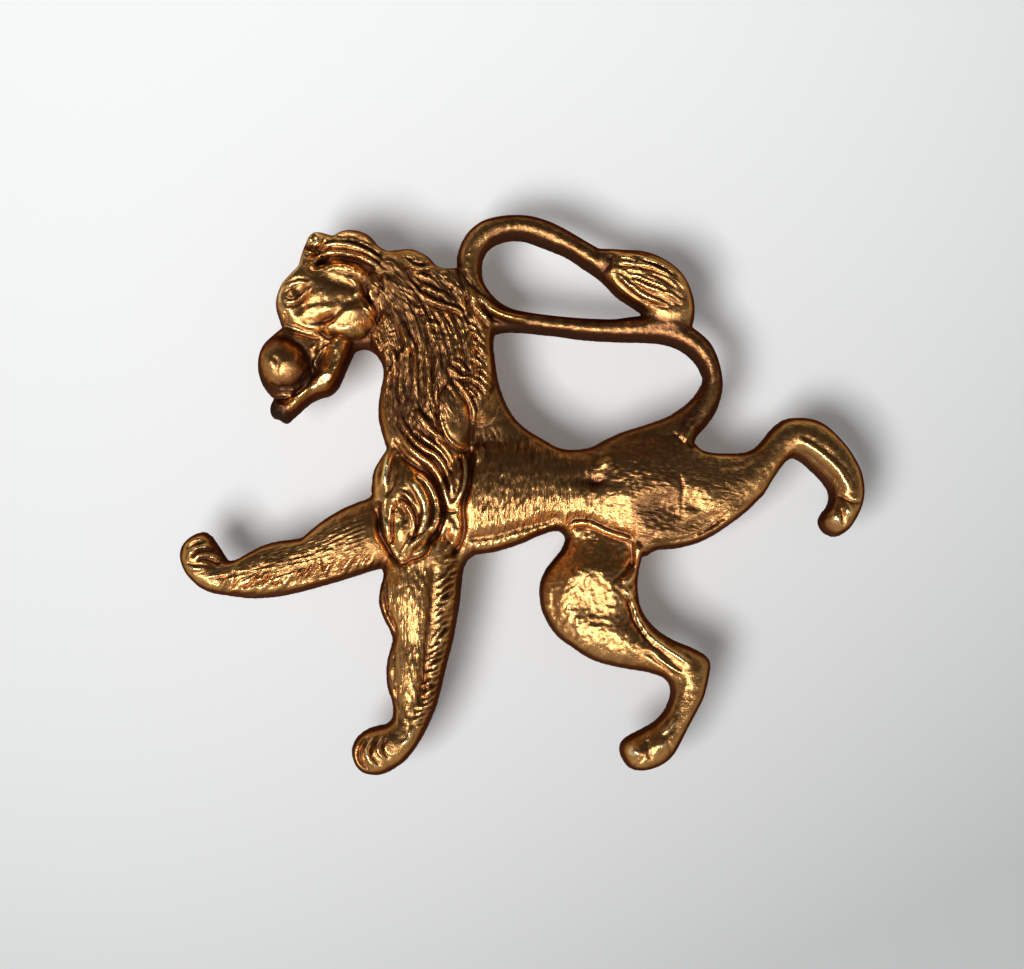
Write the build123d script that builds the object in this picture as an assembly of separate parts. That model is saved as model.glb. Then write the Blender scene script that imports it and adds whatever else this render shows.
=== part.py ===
from build123d import *
import math
import os

# Lion passant cap badge: a die-struck and clipped figure with two wire lugs
# brazed to its back, a slotted backing plate and a split pin through the lugs.
# Frame: the flat back lies on z = 0, the struck front faces +Z, +X is toward
# the hind foot, +Y is up the badge. Millimetres.

# ---- driving dimensions ----
badge_length = 45.1          # reaching paw to hooked hind foot, along X
badge_height = 36.9          # foot to top of the tail, along Y
sheet_thick = 1.6            # metal left at the clipped rim
crest_height = 4.0           # highest point of the struck relief
lug_span = 16.0              # between the two lugs
lug_middle = 1.2             # middle of the lug pair, from the badge centre
lug_row_y = 0.35             # height of the lug row on the badge
lug_wire = 1.3               # lug wire diameter
socket_depth = 0.9           # depth of the dimple each lug foot stands in
braze_ring = 0.5             # width of solder round each foot
braze_height = 0.7           # how far the solder climbs the wire
cloth_gap = 2.6              # cap cloth between the back and the backing plate
plate_thick = 0.7            # backing plate
plate_rim = 0.95             # metal left round the slots of the plate
plate_waist = 3.4            # width of the plate between its two pads
pin_diameter = 1.7           # split pin, both legs together
pin_split = 0.12             # slit between the legs
pin_tail = 2.4               # pin past the first lug
pin_neck = 1.7               # pin from the second lug to its eye
eye_outer = 4.2              # eye of the split pin
eye_wire = 0.95              # width of the half round wire in the eye
sliding_clearance = 0.1      # pin to plate, pin to lug crown
slot_clearance = 0.2         # lug wire in the plate slots

# ---- derived ----
kx = badge_length / 45.1
ky = badge_height / 36.9
kz = crest_height / 4.0
tail_half = 0.72
lug_r = lug_wire / 2
pin_r = pin_diameter / 2
lug_inside = pin_r + 2 * sliding_clearance
leg_y = lug_inside + lug_r
lug_xs = [lug_middle - lug_span / 2, lug_middle + lug_span / 2]
plate_front = -cloth_gap
plate_back = plate_front - plate_thick
pin_z = plate_back - sliding_clearance - pin_r
arch_z = pin_z - pin_r - sliding_clearance + lug_inside
socket_r = lug_r + braze_ring

# The outline, as runs of smooth curve from one corner to the next.
outline = [
    # brow, ear and hair
    [(-15.9, 11.0), (-16.3, 12.3), (-16.0, 13.8), (-14.9, 15.0)],
    [(-14.9, 15.0), (-14.4, 16.5), (-13.6, 17.4), (-12.5, 17.15)],
    [(-12.5, 17.15), (-11.3, 17.55), (-10.0, 17.1), (-8.9, 16.15)],
    [(-8.9, 16.15), (-7.5, 16.3), (-6.1, 15.7), (-5.3, 15.05), (-4.3, 15.0)],
    # outer edge of the tail, over the top loop to the tuft
    [(-4.3, 15.0), (-4.0, 16.5), (-3.1, 17.7), (-1.6, 18.4), (0.3, 18.5),
     (2.0, 18.0), (3.6, 17.15), (5.1, 16.3)],
    [(5.1, 16.3), (6.8, 16.3), (8.6, 15.95), (10.2, 15.1), (11.2, 13.7),
     (11.5, 12.2), (11.3, 11.0)],
    [(11.3, 11.0), (12.4, 10.1), (13.1, 8.6), (13.3, 7.0), (12.7, 5.2),
     (11.3, 3.3)],
    # stretched hind leg and its hooked foot
    [(11.3, 3.3), (12.7, 2.75), (14.5, 2.75), (15.7, 3.5), (16.8, 4.7),
     (18.2, 5.1), (19.8, 4.75), (21.3, 3.4), (22.4, 1.5), (22.55, -0.3),
     (21.9, -1.9), (20.7, -2.8), (19.6, -2.2), (19.65, -1.3), (20.2, -0.4)],
    [(20.2, -0.4), (20.1, 0.4), (19.2, 1.45), (17.8, 2.4)],
    [(17.8, 2.4), (16.6, 0.9), (15.0, -1.0), (13.0, -2.5), (11.0, -3.4),
     (9.2, -3.7), (7.95, -4.1)],
    # standing hind leg
    [(7.95, -4.1), (7.65, -5.8), (7.9, -7.6), (9.2, -9.1), (11.4, -10.15),
     (12.4, -11.2), (12.1, -12.9), (11.2, -14.8), (10.2, -16.8),
     (8.7, -18.0), (7.1, -18.0), (6.35, -16.7), (7.4, -15.65),
     (8.9, -14.7), (9.7, -13.4), (9.65, -12.4)],
    [(9.65, -12.4), (8.4, -11.75), (5.9, -11.3), (3.6, -10.3), (1.9, -8.8),
     (1.15, -6.8), (1.6, -4.8), (2.85, -2.9)],
    [(2.85, -2.9), (1.6, -2.55), (-0.7, -3.45), (-3.3, -4.0)],
    # standing foreleg
    [(-3.3, -4.0), (-3.95, -6.0), (-4.5, -9.5), (-5.3, -13.0), (-6.4, -15.7),
     (-8.0, -17.85), (-9.8, -18.4), (-11.1, -17.5), (-10.9, -16.0),
     (-9.0, -15.1)],
    [(-9.0, -15.1), (-8.5, -14.0), (-8.95, -12.0), (-8.55, -9.6)],
    [(-8.55, -9.6), (-9.2, -8.2), (-9.45, -6.8), (-9.2, -4.9)],
    # reaching foreleg and its hooked paw
    [(-9.2, -4.9), (-12.0, -5.75), (-15.0, -6.55), (-18.0, -6.85),
     (-20.8, -6.4), (-22.3, -5.0), (-22.3, -3.3), (-21.1, -2.5),
     (-20.0, -3.3), (-19.3, -4.4)],
    [(-19.3, -4.4), (-17.4, -3.5), (-14.6, -2.85)],
    [(-14.6, -2.85), (-12.5, -1.3), (-9.95, -0.15)],
    # chest, throat, chin and muzzle
    [(-9.95, -0.15), (-9.8, 1.6), (-8.95, 3.0)],
    [(-8.95, 3.0), (-9.5, 5.0), (-9.35, 7.2), (-9.4, 8.8), (-11.0, 9.45)],
    [(-11.0, 9.45), (-11.8, 7.7), (-13.2, 6.4), (-15.5, 4.65)],
    [(-15.5, 4.65), (-16.5, 5.0), (-16.4, 6.3)],
    [(-16.4, 6.3), (-17.4, 7.8), (-17.2, 9.8), (-15.9, 11.0)],
]

top_loop = [
    [(7.9, 11.85), (6.3, 13.0), (4.9, 14.4), (3.0, 15.7), (0.9, 16.6),
     (-1.2, 16.75), (-2.5, 15.9), (-2.5, 14.1), (-1.2, 12.6), (1.0, 12.0),
     (4.5, 11.65), (7.9, 11.85)],
]

lower_loop = [
    [(-1.8, 10.65), (2.0, 10.5), (6.0, 10.1), (9.6, 9.9), (11.4, 8.8),
     (11.9, 7.4), (10.8, 5.9), (8.5, 4.75), (6.0, 3.9), (3.6, 3.0)],
    [(3.6, 3.0), (1.7, 3.55), (0.0, 4.6), (-1.2, 6.4), (-1.75, 8.6),
     (-1.8, 10.65)],
]

# Centre line of the tail: rump, bar, and the loop over the back to the tuft.
tail_line = [
    (10.4, 3.7), (11.9, 5.5), (12.55, 7.4), (12.1, 9.1), (10.6, 10.35),
    (8.0, 10.85), (4.5, 10.95), (1.0, 11.3), (-1.4, 11.9), (-2.9, 13.3),
    (-3.3, 15.0), (-2.6, 16.9), (-0.9, 17.6), (1.2, 17.35), (3.4, 16.35),
    (5.6, 15.2),
]

# Modelled masses: x, y, half length, half width, turn in degrees, crest height.
masses = [
    (-1.2, 0.7, 6.4, 3.9, -3, 3.5),       # ribs
    (4.2, 0.9, 5.0, 2.5, 0, 3.1),         # loin
    (9.6, 0.3, 5.2, 3.7, -6, 3.4),        # haunch
    (-6.0, 8.2, 8.4, 3.8, 98, 3.9),       # neck and mane
    (-9.8, 15.0, 4.6, 2.1, -12, 3.2),     # hair behind the ear
    (-12.9, 13.0, 3.4, 2.9, -28, 4.0),    # skull
    (-15.65, 8.5, 1.9, 1.8, 0, 3.9),      # muzzle
    (-13.3, 7.9, 3.1, 1.25, 42, 2.9),     # jaw
    (-6.8, -1.2, 3.9, 3.0, 92, 3.9),      # shoulder
    (-6.7, -7.0, 5.6, 2.3, 88, 3.2),      # foreleg
    (-7.0, -12.4, 3.8, 1.6, 84, 2.7),     # shin
    (-9.1, -16.7, 2.3, 1.55, -18, 2.7),   # front paw
    (-12.0, -3.6, 5.4, 2.0, 17, 2.9),     # reaching arm
    (-17.6, -5.2, 3.6, 1.45, 4, 2.4),     # wrist
    (-21.2, -4.3, 1.9, 1.15, 78, 2.4),    # hooked paw
    (4.4, -6.1, 4.3, 3.2, 100, 2.9),      # thigh
    (7.9, -9.9, 4.2, 1.35, -33, 2.6),     # hock
    (10.9, -13.3, 3.2, 1.15, 69, 2.3),    # shank
    (8.3, -16.8, 1.9, 1.2, 22, 2.4),      # hind paw
    (14.6, 1.1, 4.4, 1.7, 38, 2.8),       # stretched leg
    (19.3, 3.3, 2.8, 1.35, -22, 2.4),     # hooked shank
    (21.4, 0.2, 2.6, 1.15, 84, 2.3),      # hooked foot
    (8.3, 13.9, 3.5, 1.75, -38, 2.8),     # tuft
]


def fit(x, y):
    return (x * kx, y * ky)


def closed_face(runs):
    edges = []
    for run in runs:
        points = [fit(x, y) for x, y in run]
        edges.append(Spline(*points, periodic=False))
    return make_face(Wire(edges))


def spheroid(x, y, half_length, half_width, turn, crest):
    crest_z = crest * kz
    centre_z = min(crest_z - half_width * 0.55, sheet_thick * 0.8)
    height = crest_z - centre_z
    ball = Sphere(1.0)
    ball = scale(ball, by=(half_length * kx, half_width * ky, height))
    return Pos(x * kx, y * ky, centre_z) * Rot(0, 0, turn) * ball


def tail_ridge():
    points = [fit(x, y) for x, y in tail_line]
    path = Spline(*points)
    section = Plane(origin=path @ 0, z_dir=path % 0) * Circle(tail_half * 0.82)
    ridge = sweep(section, path=path)
    return Pos(0, 0, sheet_thick - 0.25) * ridge


def lion_badge():
    stock = Box(badge_length * 1.3, badge_height * 1.3, sheet_thick + 1.0)
    body = Pos(0, 0, (sheet_thick - 1.0) / 2) * stock
    for mass in masses:
        body += spheroid(*mass)
    body += tail_ridge()
    figure = closed_face(outline)
    figure -= closed_face(top_loop)
    figure -= closed_face(lower_loop)
    prism = extrude(figure, amount=crest_height + 2.0)
    lion = prism & body
    for x in lug_xs:
        for side in (-1, 1):
            dimple = Cylinder(socket_r, socket_depth * 2)
            lion -= Pos(x, lug_row_y + side * leg_y, 0) * dimple
    return lion


def lug(x):
    foot = socket_depth
    low = Vector(x, lug_row_y - leg_y, foot)
    low_top = Vector(x, lug_row_y - leg_y, arch_z)
    crown = Vector(x, lug_row_y, arch_z - leg_y)
    high_top = Vector(x, lug_row_y + leg_y, arch_z)
    high = Vector(x, lug_row_y + leg_y, foot)
    path = Wire([
        Line(low, low_top),
        ThreePointArc(low_top, crown, high_top),
        Line(high_top, high),
    ])
    section = Plane(origin=low, z_dir=(0, 0, -1)) * Circle(lug_r)
    return sweep(section, path=path)


def braze(x, side):
    profile = Polyline(
        (lug_r, socket_depth),
        (socket_r, socket_depth),
        (socket_r, 0.0),
        (lug_r + braze_ring * 0.3, -braze_height * 0.45),
        (lug_r, -braze_height),
        (lug_r, socket_depth),
    )
    face = Plane.XZ * make_face(profile)
    ring = revolve(face, axis=Axis.Z)
    return Pos(x, lug_row_y + side * leg_y, 0) * ring


def backing_plate():
    slot_w = lug_wire + 2 * slot_clearance
    slot_l = 2 * (leg_y + lug_r + slot_clearance)
    pad_w = slot_w + 2 * plate_rim
    pad_l = slot_l + 2 * plate_rim
    shape = Pos(lug_middle, lug_row_y) * Rectangle(lug_span, plate_waist)
    for x in lug_xs:
        shape += Pos(x, lug_row_y) * RectangleRounded(pad_w, pad_l, 1.2)
    for x in lug_xs:
        shape -= Pos(x, lug_row_y) * SlotOverall(slot_l, slot_w, rotation=90)
    plate = extrude(shape, amount=plate_thick)
    return Pos(0, 0, plate_back) * plate


def split_pin():
    tip_x = lug_xs[0] - pin_tail
    neck_x = lug_xs[1] + pin_neck
    eye_mid = eye_outer / 2 - eye_wire / 2
    eye_x = neck_x + eye_outer / 2 - eye_wire * 0.6
    leg_length = neck_x - tip_x
    legs = Rot(0, 90, 0) * Cylinder(pin_r, leg_length)
    legs = Pos((tip_x + neck_x) / 2, 0, 0) * legs
    point = Rot(0, 90, 0) * Cone(pin_r, pin_r * 0.6, 1.0)
    legs += Pos(tip_x - 0.5, 0, 0) * Rot(0, 0, 180) * point
    ring = Torus(eye_mid, eye_wire / 2)
    ring = Pos(eye_x, 0, 0) * ring
    pin = legs + ring
    slit_length = leg_length + eye_wire + 1.2
    slit = Box(slit_length, pin_split, pin_diameter * 1.5)
    slit_x = eye_x - eye_mid + eye_wire * 0.6 - slit_length / 2
    pin -= Pos(slit_x, 0, 0) * slit
    return Pos(0, lug_row_y, pin_z) * pin


os.makedirs("parts", exist_ok=True)
export_step(lion_badge(), "parts/lion_badge.step")
for name, x in zip(("front", "rear"), lug_xs):
    export_step(lug(x), f"parts/{name}_lug.step")
    export_step(braze(x, 1), f"parts/{name}_braze_upper.step")
    export_step(braze(x, -1), f"parts/{name}_braze_lower.step")
export_step(backing_plate(), "parts/backing_plate.step")
export_step(split_pin(), "parts/split_pin.step")
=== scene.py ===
import math
import bpy
import numpy as np
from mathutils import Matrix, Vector
from mathutils.geometry import delaunay_2d_cdt


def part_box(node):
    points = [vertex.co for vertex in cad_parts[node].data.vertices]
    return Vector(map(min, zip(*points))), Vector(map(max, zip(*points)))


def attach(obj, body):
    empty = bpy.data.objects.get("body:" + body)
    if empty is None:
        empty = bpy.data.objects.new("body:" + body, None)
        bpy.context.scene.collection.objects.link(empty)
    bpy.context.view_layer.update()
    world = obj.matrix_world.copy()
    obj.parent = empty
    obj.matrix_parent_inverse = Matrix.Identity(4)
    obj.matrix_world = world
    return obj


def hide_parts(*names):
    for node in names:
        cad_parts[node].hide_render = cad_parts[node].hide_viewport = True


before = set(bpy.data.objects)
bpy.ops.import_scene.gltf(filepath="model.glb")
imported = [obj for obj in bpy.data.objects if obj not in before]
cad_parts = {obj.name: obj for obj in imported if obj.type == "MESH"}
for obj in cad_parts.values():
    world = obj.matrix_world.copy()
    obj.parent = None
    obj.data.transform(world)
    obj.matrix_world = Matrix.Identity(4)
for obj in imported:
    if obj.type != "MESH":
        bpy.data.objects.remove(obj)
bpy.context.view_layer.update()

# ---------------------------------------------------------------------------
# The lion: one piece of gilding metal struck in a die from the back, then
# clipped to its outline, which leaves sheared walls that flare toward the
# flat back. Everything on its front is cut into the die. Sizes are in mm.
# ---------------------------------------------------------------------------

lion_runs = [
    # brow, ear, hair over the head, nape
    [(-15.9, 11.0), (-16.1, 11.6), (-16.32, 12.4), (-16.25, 13.1), (-15.95, 13.85), (-15.4, 14.45),
     (-14.85, 15.0)],
    [(-14.85, 15.0), (-14.68, 15.7), (-14.4, 16.5), (-14.05, 17.1), (-13.55, 17.4), (-13.0, 17.3),
     (-12.5, 17.15)],
    [(-12.5, 17.15), (-11.95, 17.45), (-11.3, 17.55), (-10.6, 17.42), (-10.0, 17.1), (-9.5, 16.5),
     (-8.9, 16.15)],
    [(-8.9, 16.15), (-8.2, 16.2), (-7.4, 16.28), (-6.7, 16.05), (-6.1, 15.7), (-5.65, 15.2),
     (-5.2, 15.0), (-4.35, 15.0)],
    # the tail's outer edge, up and over to the tuft
    [(-4.35, 15.0), (-4.3, 15.9), (-4.0, 16.8), (-3.4, 17.6), (-2.5, 18.2), (-1.2, 18.5), (0.2, 18.52),
     (1.2, 18.32), (2.2, 17.95), (3.2, 17.42), (4.2, 16.82), (5.1, 16.3)],
    [(5.1, 16.3), (5.9, 16.28), (6.8, 16.22), (7.7, 16.18), (8.6, 15.98), (9.4, 15.62), (10.2, 15.08),
     (10.8, 14.4), (11.2, 13.6), (11.42, 12.8), (11.47, 12.0), (11.3, 11.05)],
    [(11.3, 11.05), (11.9, 10.6), (12.45, 10.05), (12.85, 9.35), (13.12, 8.55), (13.27, 7.75),
     (13.3, 7.0), (13.08, 6.05), (12.7, 5.2), (12.15, 4.45), (11.6, 3.85), (11.4, 3.4)],
    # the stretched hind leg and its hooked foot
    [(11.4, 3.4), (11.9, 2.95), (12.6, 2.78), (13.5, 2.74), (14.4, 2.76), (15.0, 2.88), (15.5, 3.2),
     (15.95, 3.72), (16.4, 4.28), (16.85, 4.68), (17.4, 5.0), (18.1, 5.1), (18.9, 5.05), (19.6, 4.85),
     (20.3, 4.4), (21.0, 3.7), (21.6, 2.98), (22.1, 2.15), (22.42, 1.4), (22.58, 0.5), (22.55, -0.25),
     (22.35, -1.0), (22.0, -1.7), (21.55, -2.35), (21.0, -2.7), (20.5, -2.82), (20.0, -2.62),
     (19.65, -2.28), (19.5, -1.8), (19.68, -1.3), (20.05, -0.85), (20.22, -0.4)],
    [(20.22, -0.4), (20.2, 0.1), (19.95, 0.58), (19.5, 1.12), (19.0, 1.6), (18.45, 2.1), (17.85, 2.42)],
    [(17.85, 2.42), (17.45, 2.15), (17.0, 1.6), (16.5, 0.82), (16.05, 0.08), (15.55, -0.45),
     (15.0, -1.0), (14.0, -1.8), (13.0, -2.48), (12.0, -3.05), (11.0, -3.4), (10.0, -3.6), (9.0, -3.67),
     (8.6, -3.8), (8.3, -4.05), (7.95, -4.1)],
    # the standing hind leg
    [(7.95, -4.1), (7.75, -4.9), (7.65, -5.8), (7.66, -6.5), (7.78, -7.25), (8.1, -7.95), (8.6, -8.6),
     (9.2, -9.1), (10.0, -9.58), (11.0, -10.0), (11.8, -10.4), (12.25, -10.75), (12.42, -11.2),
     (12.32, -11.95), (12.15, -12.7), (11.95, -13.4), (11.6, -14.1), (11.2, -14.85), (10.8, -15.6),
     (10.4, -16.4), (10.05, -17.0), (9.6, -17.5), (9.0, -17.88), (8.3, -18.12), (7.7, -18.18),
     (7.15, -18.03), (6.75, -17.7), (6.48, -17.2), (6.36, -16.65), (6.6, -16.1), (7.2, -15.72),
     (8.0, -15.3), (8.7, -14.88), (9.25, -14.3), (9.6, -13.6), (9.74, -13.0), (9.66, -12.45)],
    [(9.66, -12.45), (9.3, -12.1), (8.75, -11.87), (8.0, -11.68), (7.0, -11.52), (6.0, -11.33),
     (5.0, -11.05), (4.2, -10.7), (3.4, -10.15), (2.6, -9.6), (2.0, -9.0), (1.58, -8.3), (1.28, -7.6),
     (1.14, -6.8), (1.15, -6.0), (1.35, -5.3), (1.7, -4.7), (2.2, -4.1), (2.6, -3.55), (2.85, -2.9)],
    [(2.85, -2.9), (2.55, -2.5), (2.0, -2.45), (1.0, -2.8), (0.0, -3.25), (-1.0, -3.58), (-2.0, -3.85),
     (-3.15, -4.0)],
    # the standing foreleg
    [(-3.15, -4.0), (-3.55, -4.35), (-3.85, -5.0), (-3.97, -6.0), (-4.07, -7.0), (-4.22, -8.0),
     (-4.4, -9.0), (-4.62, -10.0), (-4.88, -11.0), (-5.12, -12.0), (-5.4, -13.2), (-5.75, -14.3),
     (-6.1, -15.1), (-6.55, -16.0), (-7.1, -16.85), (-7.7, -17.55), (-8.4, -18.05), (-9.05, -18.37),
     (-9.65, -18.46), (-10.3, -18.35), (-10.8, -18.0), (-11.12, -17.4), (-11.2, -16.75), (-10.95, -16.1),
     (-10.4, -15.55), (-9.75, -15.25), (-9.0, -15.1)],
    [(-9.0, -15.1), (-8.6, -14.8), (-8.5, -14.2), (-8.6, -13.5), (-8.85, -12.8), (-8.95, -12.0),
     (-8.9, -11.0), (-8.7, -10.2), (-8.52, -9.55)],
    [(-8.52, -9.55), (-8.75, -8.9), (-9.1, -8.25), (-9.4, -7.4), (-9.45, -6.7), (-9.32, -6.0),
     (-9.15, -5.3), (-9.25, -4.9)],
    # the reaching foreleg and its hooked paw
    [(-9.25, -4.9), (-10.0, -5.1), (-11.0, -5.42), (-12.0, -5.74), (-13.0, -6.02), (-14.0, -6.3),
     (-15.0, -6.54), (-16.0, -6.74), (-17.0, -6.85), (-18.0, -6.86), (-19.0, -6.74), (-20.0, -6.6),
     (-20.7, -6.42), (-21.25, -6.15), (-21.7, -5.75), (-22.1, -5.3), (-22.4, -4.7), (-22.54, -4.05),
     (-22.4, -3.4), (-22.0, -2.9), (-21.5, -2.58), (-20.95, -2.45), (-20.45, -2.75), (-20.05, -3.3),
     (-19.7, -3.85), (-19.35, -4.38)],
    [(-19.35, -4.38), (-18.8, -4.25), (-18.0, -3.8), (-17.0, -3.3), (-16.0, -3.05), (-15.2, -2.96),
     (-14.5, -2.84)],
    [(-14.5, -2.84), (-13.9, -2.3), (-13.0, -1.6), (-12.0, -1.0), (-11.0, -0.55), (-10.3, -0.3),
     (-9.97, -0.1)],
    # chest, throat, chin, muzzle
    [(-9.97, -0.1), (-9.93, 0.8), (-9.8, 1.6), (-9.35, 2.4), (-8.95, 3.0)],
    [(-8.95, 3.0), (-9.15, 3.6), (-9.35, 4.3), (-9.5, 5.0), (-9.52, 5.9), (-9.38, 6.9), (-9.2, 7.8),
     (-9.22, 8.4), (-9.45, 8.95), (-9.9, 9.42), (-10.45, 9.6), (-11.05, 9.45)],
    [(-11.05, 9.45), (-11.3, 8.85), (-11.6, 8.2), (-11.9, 7.45), (-12.2, 6.92), (-12.7, 6.5),
     (-13.5, 6.28), (-14.2, 5.82), (-14.7, 5.35), (-15.1, 5.0), (-15.5, 4.62)],
    [(-15.5, 4.62), (-15.8, 4.72), (-16.1, 4.95), (-16.45, 5.0), (-16.65, 5.4), (-16.62, 5.85),
     (-16.4, 6.3)],
    [(-16.4, 6.3), (-16.9, 6.8), (-17.3, 7.5), (-17.48, 8.3), (-17.42, 9.15), (-17.1, 9.9),
     (-16.5, 10.5), (-15.9, 11.0)],
]
lion_holes = [
    [(-2.65, 15.0), (-2.6, 14.4), (-2.4, 13.9), (-2.0, 13.3), (-1.4, 12.72), (-0.6, 12.3), (0.3, 12.1),
     (1.5, 11.92), (3.0, 11.76), (4.5, 11.66), (6.0, 11.62), (7.0, 11.75), (7.9, 11.9), (7.4, 12.3),
     (6.8, 12.7), (6.2, 13.12), (5.7, 13.65), (5.2, 14.15), (4.6, 14.6), (4.0, 15.0), (3.4, 15.42),
     (2.8, 15.78), (2.0, 16.12), (1.0, 16.5), (0.2, 16.78), (-0.5, 16.85), (-1.2, 16.75), (-2.0, 16.4),
     (-2.5, 15.8), (-2.65, 15.0)],
    [(-1.8, 10.6), (-1.0, 10.73), (0.0, 10.7), (1.0, 10.6), (2.0, 10.5), (3.0, 10.36), (4.0, 10.23),
     (5.0, 10.15), (6.0, 10.1), (7.0, 10.07), (8.0, 10.05), (9.0, 9.98), (9.8, 9.8), (10.5, 9.5),
     (11.05, 9.1), (11.5, 8.6), (11.8, 8.05), (11.95, 7.55), (11.72, 7.05), (11.35, 6.5), (10.85, 6.0),
     (10.2, 5.52), (9.5, 5.12), (8.5, 4.75), (7.5, 4.43), (6.5, 4.1), (5.5, 3.65), (4.7, 3.2),
     (3.9, 3.02), (3.0, 3.0), (2.3, 3.15), (1.6, 3.55), (1.0, 3.9), (0.5, 4.2), (0.0, 4.6), (-0.5, 5.1),
     (-0.9, 5.75), (-1.2, 6.4), (-1.5, 7.3), (-1.68, 8.2), (-1.78, 9.0), (-1.88, 9.8), (-1.8, 10.6)],
]

mm = 0.001             # one millimetre, in the scene's metres
grain = 0.096          # spacing of the modelled surface
rim = 1.3              # height of the clipped edge
crest = 4.05           # the highest that the front may rise
flare = 0.11           # how far the sheared wall runs out below the rim
roll_width = 0.3       # how far in from the rim the edge rolls off
# The sheared wall's dark tone is partly painted shade.
wall_tone = -.45       # tone of the sheared wall
back_tone = .35        # tone of the flat back
dimple_sides = 40      # corners round a lug foot's dimple
shortest_border = 40   # corners in the smallest border that is kept
afar = 99.0            # distance that stands for "no line near"
absent = -9.0          # height that stands for "no form here"
xs = np.arange(-23.0, 23.05, grain)
ys = np.arange(-18.9, 18.95, grain)
X, Y = np.meshgrid(xs, ys)


def unit(value):
    """Holds a value between 0 and 1."""
    return np.clip(value, 0, 1)


def curve(points, step=0.12):
    """A smooth line through the points; any further columns follow along."""
    p = np.array(points, float)
    q = np.vstack([2 * p[0] - p[1], p, 2 * p[-1] - p[-2]])
    out = []
    for a, b, c, d in zip(q, q[1:], q[2:], q[3:]):
        n = max(1, int(np.hypot(*(c - b)[:2]) / step))
        t = (np.arange(n) / n)[:, None]
        bend = (2 * a - 5 * b + 4 * c - d) * t ** 2 + (3 * b - a - 3 * c + d) * t ** 3
        out.append(0.5 * (2 * b + (c - a) * t + bend))
    out.append(p[-1:])
    return np.vstack(out)


def span(low, high, start, count):
    """Grid rows or columns from low to high."""
    a = min(max(int((low - start) / grain), 0), count)
    b = min(max(int((high - start) / grain) + 2, 0), count)
    return a, b


def trace(line, reach):
    """For the grid near a line: its window, the distance to the line, how far
    along the nearest point is, which side it lies on, and the line's columns."""
    i0, i1 = span(line[:, 0].min() - reach, line[:, 0].max() + reach, xs[0], len(xs))
    j0, j1 = span(line[:, 1].min() - reach, line[:, 1].max() + reach, ys[0], len(ys))
    gx, gy = X[j0:j1, i0:i1], Y[j0:j1, i0:i1]
    dist = np.full(gx.shape, afar)
    along = np.zeros(gx.shape)
    side = np.zeros(gx.shape)
    more = np.zeros(gx.shape + (line.shape[1],))
    walked = 0.0
    for a, b in zip(line, line[1:]):
        dx, dy = b[0] - a[0], b[1] - a[1]
        size = math.hypot(dx, dy)
        if size < 1e-9:
            continue
        c0, c1 = span(min(a[0], b[0]) - reach, max(a[0], b[0]) + reach, gx[0, 0], gx.shape[1])
        r0, r1 = span(min(a[1], b[1]) - reach, max(a[1], b[1]) + reach, gy[0, 0], gx.shape[0])
        x, y = gx[r0:r1, c0:c1] - a[0], gy[r0:r1, c0:c1] - a[1]
        t = unit((x * dx + y * dy) / size ** 2)
        e = np.hypot(x - t * dx, y - t * dy)
        near = e < dist[r0:r1, c0:c1]
        dist[r0:r1, c0:c1][near] = e[near]
        along[r0:r1, c0:c1][near] = (walked + t * size)[near]
        side[r0:r1, c0:c1][near] = ((dx * y - dy * x) / size)[near]
        more[r0:r1, c0:c1][near] = (a + t[..., None] * (b - a))[near]
        walked += size
    return (slice(j0, j1), slice(i0, i1)), dist, along / max(walked, 1e-9), side, more, walked


def soften(field, times=1):
    """Evens a field out over its neighbours."""
    for _ in range(times):
        p = np.pad(field, 1, mode="edge")
        field = (p[:-2, 1:-1] + p[2:, 1:-1] + p[1:-1, :-2] + p[1:-1, 2:] + 4 * p[1:-1, 1:-1]) / 8
    return field


def cloud(seed, spread):
    """Smooth seeded unevenness, from -1 to 1."""
    rough = np.random.RandomState(seed).rand(*X.shape) - 0.5
    smooth = soften(rough, spread)
    return smooth / np.abs(smooth).max()


def edge_distance(loops):
    """How far inside the outline each grid point is, negative outside."""
    far = np.full(X.shape, afar)
    toggles = np.zeros((X.shape[0], X.shape[1] + 1))
    for loop in loops:
        window, dist = trace(loop, 4.5)[:2]
        far[window] = np.minimum(far[window], dist)
        for (ax, ay), (bx, by) in zip(loop[:, :2], loop[1:, :2]):
            if ay == by:
                continue
            rows = np.nonzero((ys >= min(ay, by)) & (ys < max(ay, by)))[0]
            crossing = ax + (ys[rows] - ay) / (by - ay) * (bx - ax)
            np.add.at(toggles, (rows, np.searchsorted(xs, crossing)), 1)
    inside = np.cumsum(toggles, 1)[:, :-1] % 2 > 0.5
    return np.where(inside, far, -far)


outline = np.vstack([curve(run, 0.15)[:-1] for run in lion_runs] + [np.array(lion_runs[0][:1], float)])
loops = [outline] + [curve(hole, 0.15) for hole in lion_holes]
edge = edge_distance(loops)


def mass(spine, power=0.5):
    """A rounded form over a line of x, y, half width, crest height."""
    foot = rim - 0.1
    line = curve(spine, 0.2)
    window, dist, _, _, more, _ = trace(line, line[:, 2].max() + 0.3)
    form = np.full(X.shape, absent)
    ratio = np.clip(dist / np.maximum(more[..., 2], 1e-3), 0, 1.15)
    rise = np.where(ratio < 1, np.maximum(1 - ratio ** 2, 0) ** power, -(ratio - 1) * 3)
    form[window] = np.where(dist < afar, foot + (more[..., 3] - foot) * rise, absent)
    return form


def blend(low, high, k=0.3):
    """Joins two forms with a fillet."""
    h = unit(0.5 + 0.5 * (low - high) / k)
    return high + (low - high) * h + k * h * (1 - h)


def overlap(low, high, cut=0.16):
    """Lays one form over another and cuts a fine line where they meet."""
    gap = high - low
    return np.maximum(low, high) - cut * np.exp(-(gap / 0.28) ** 2)


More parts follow.
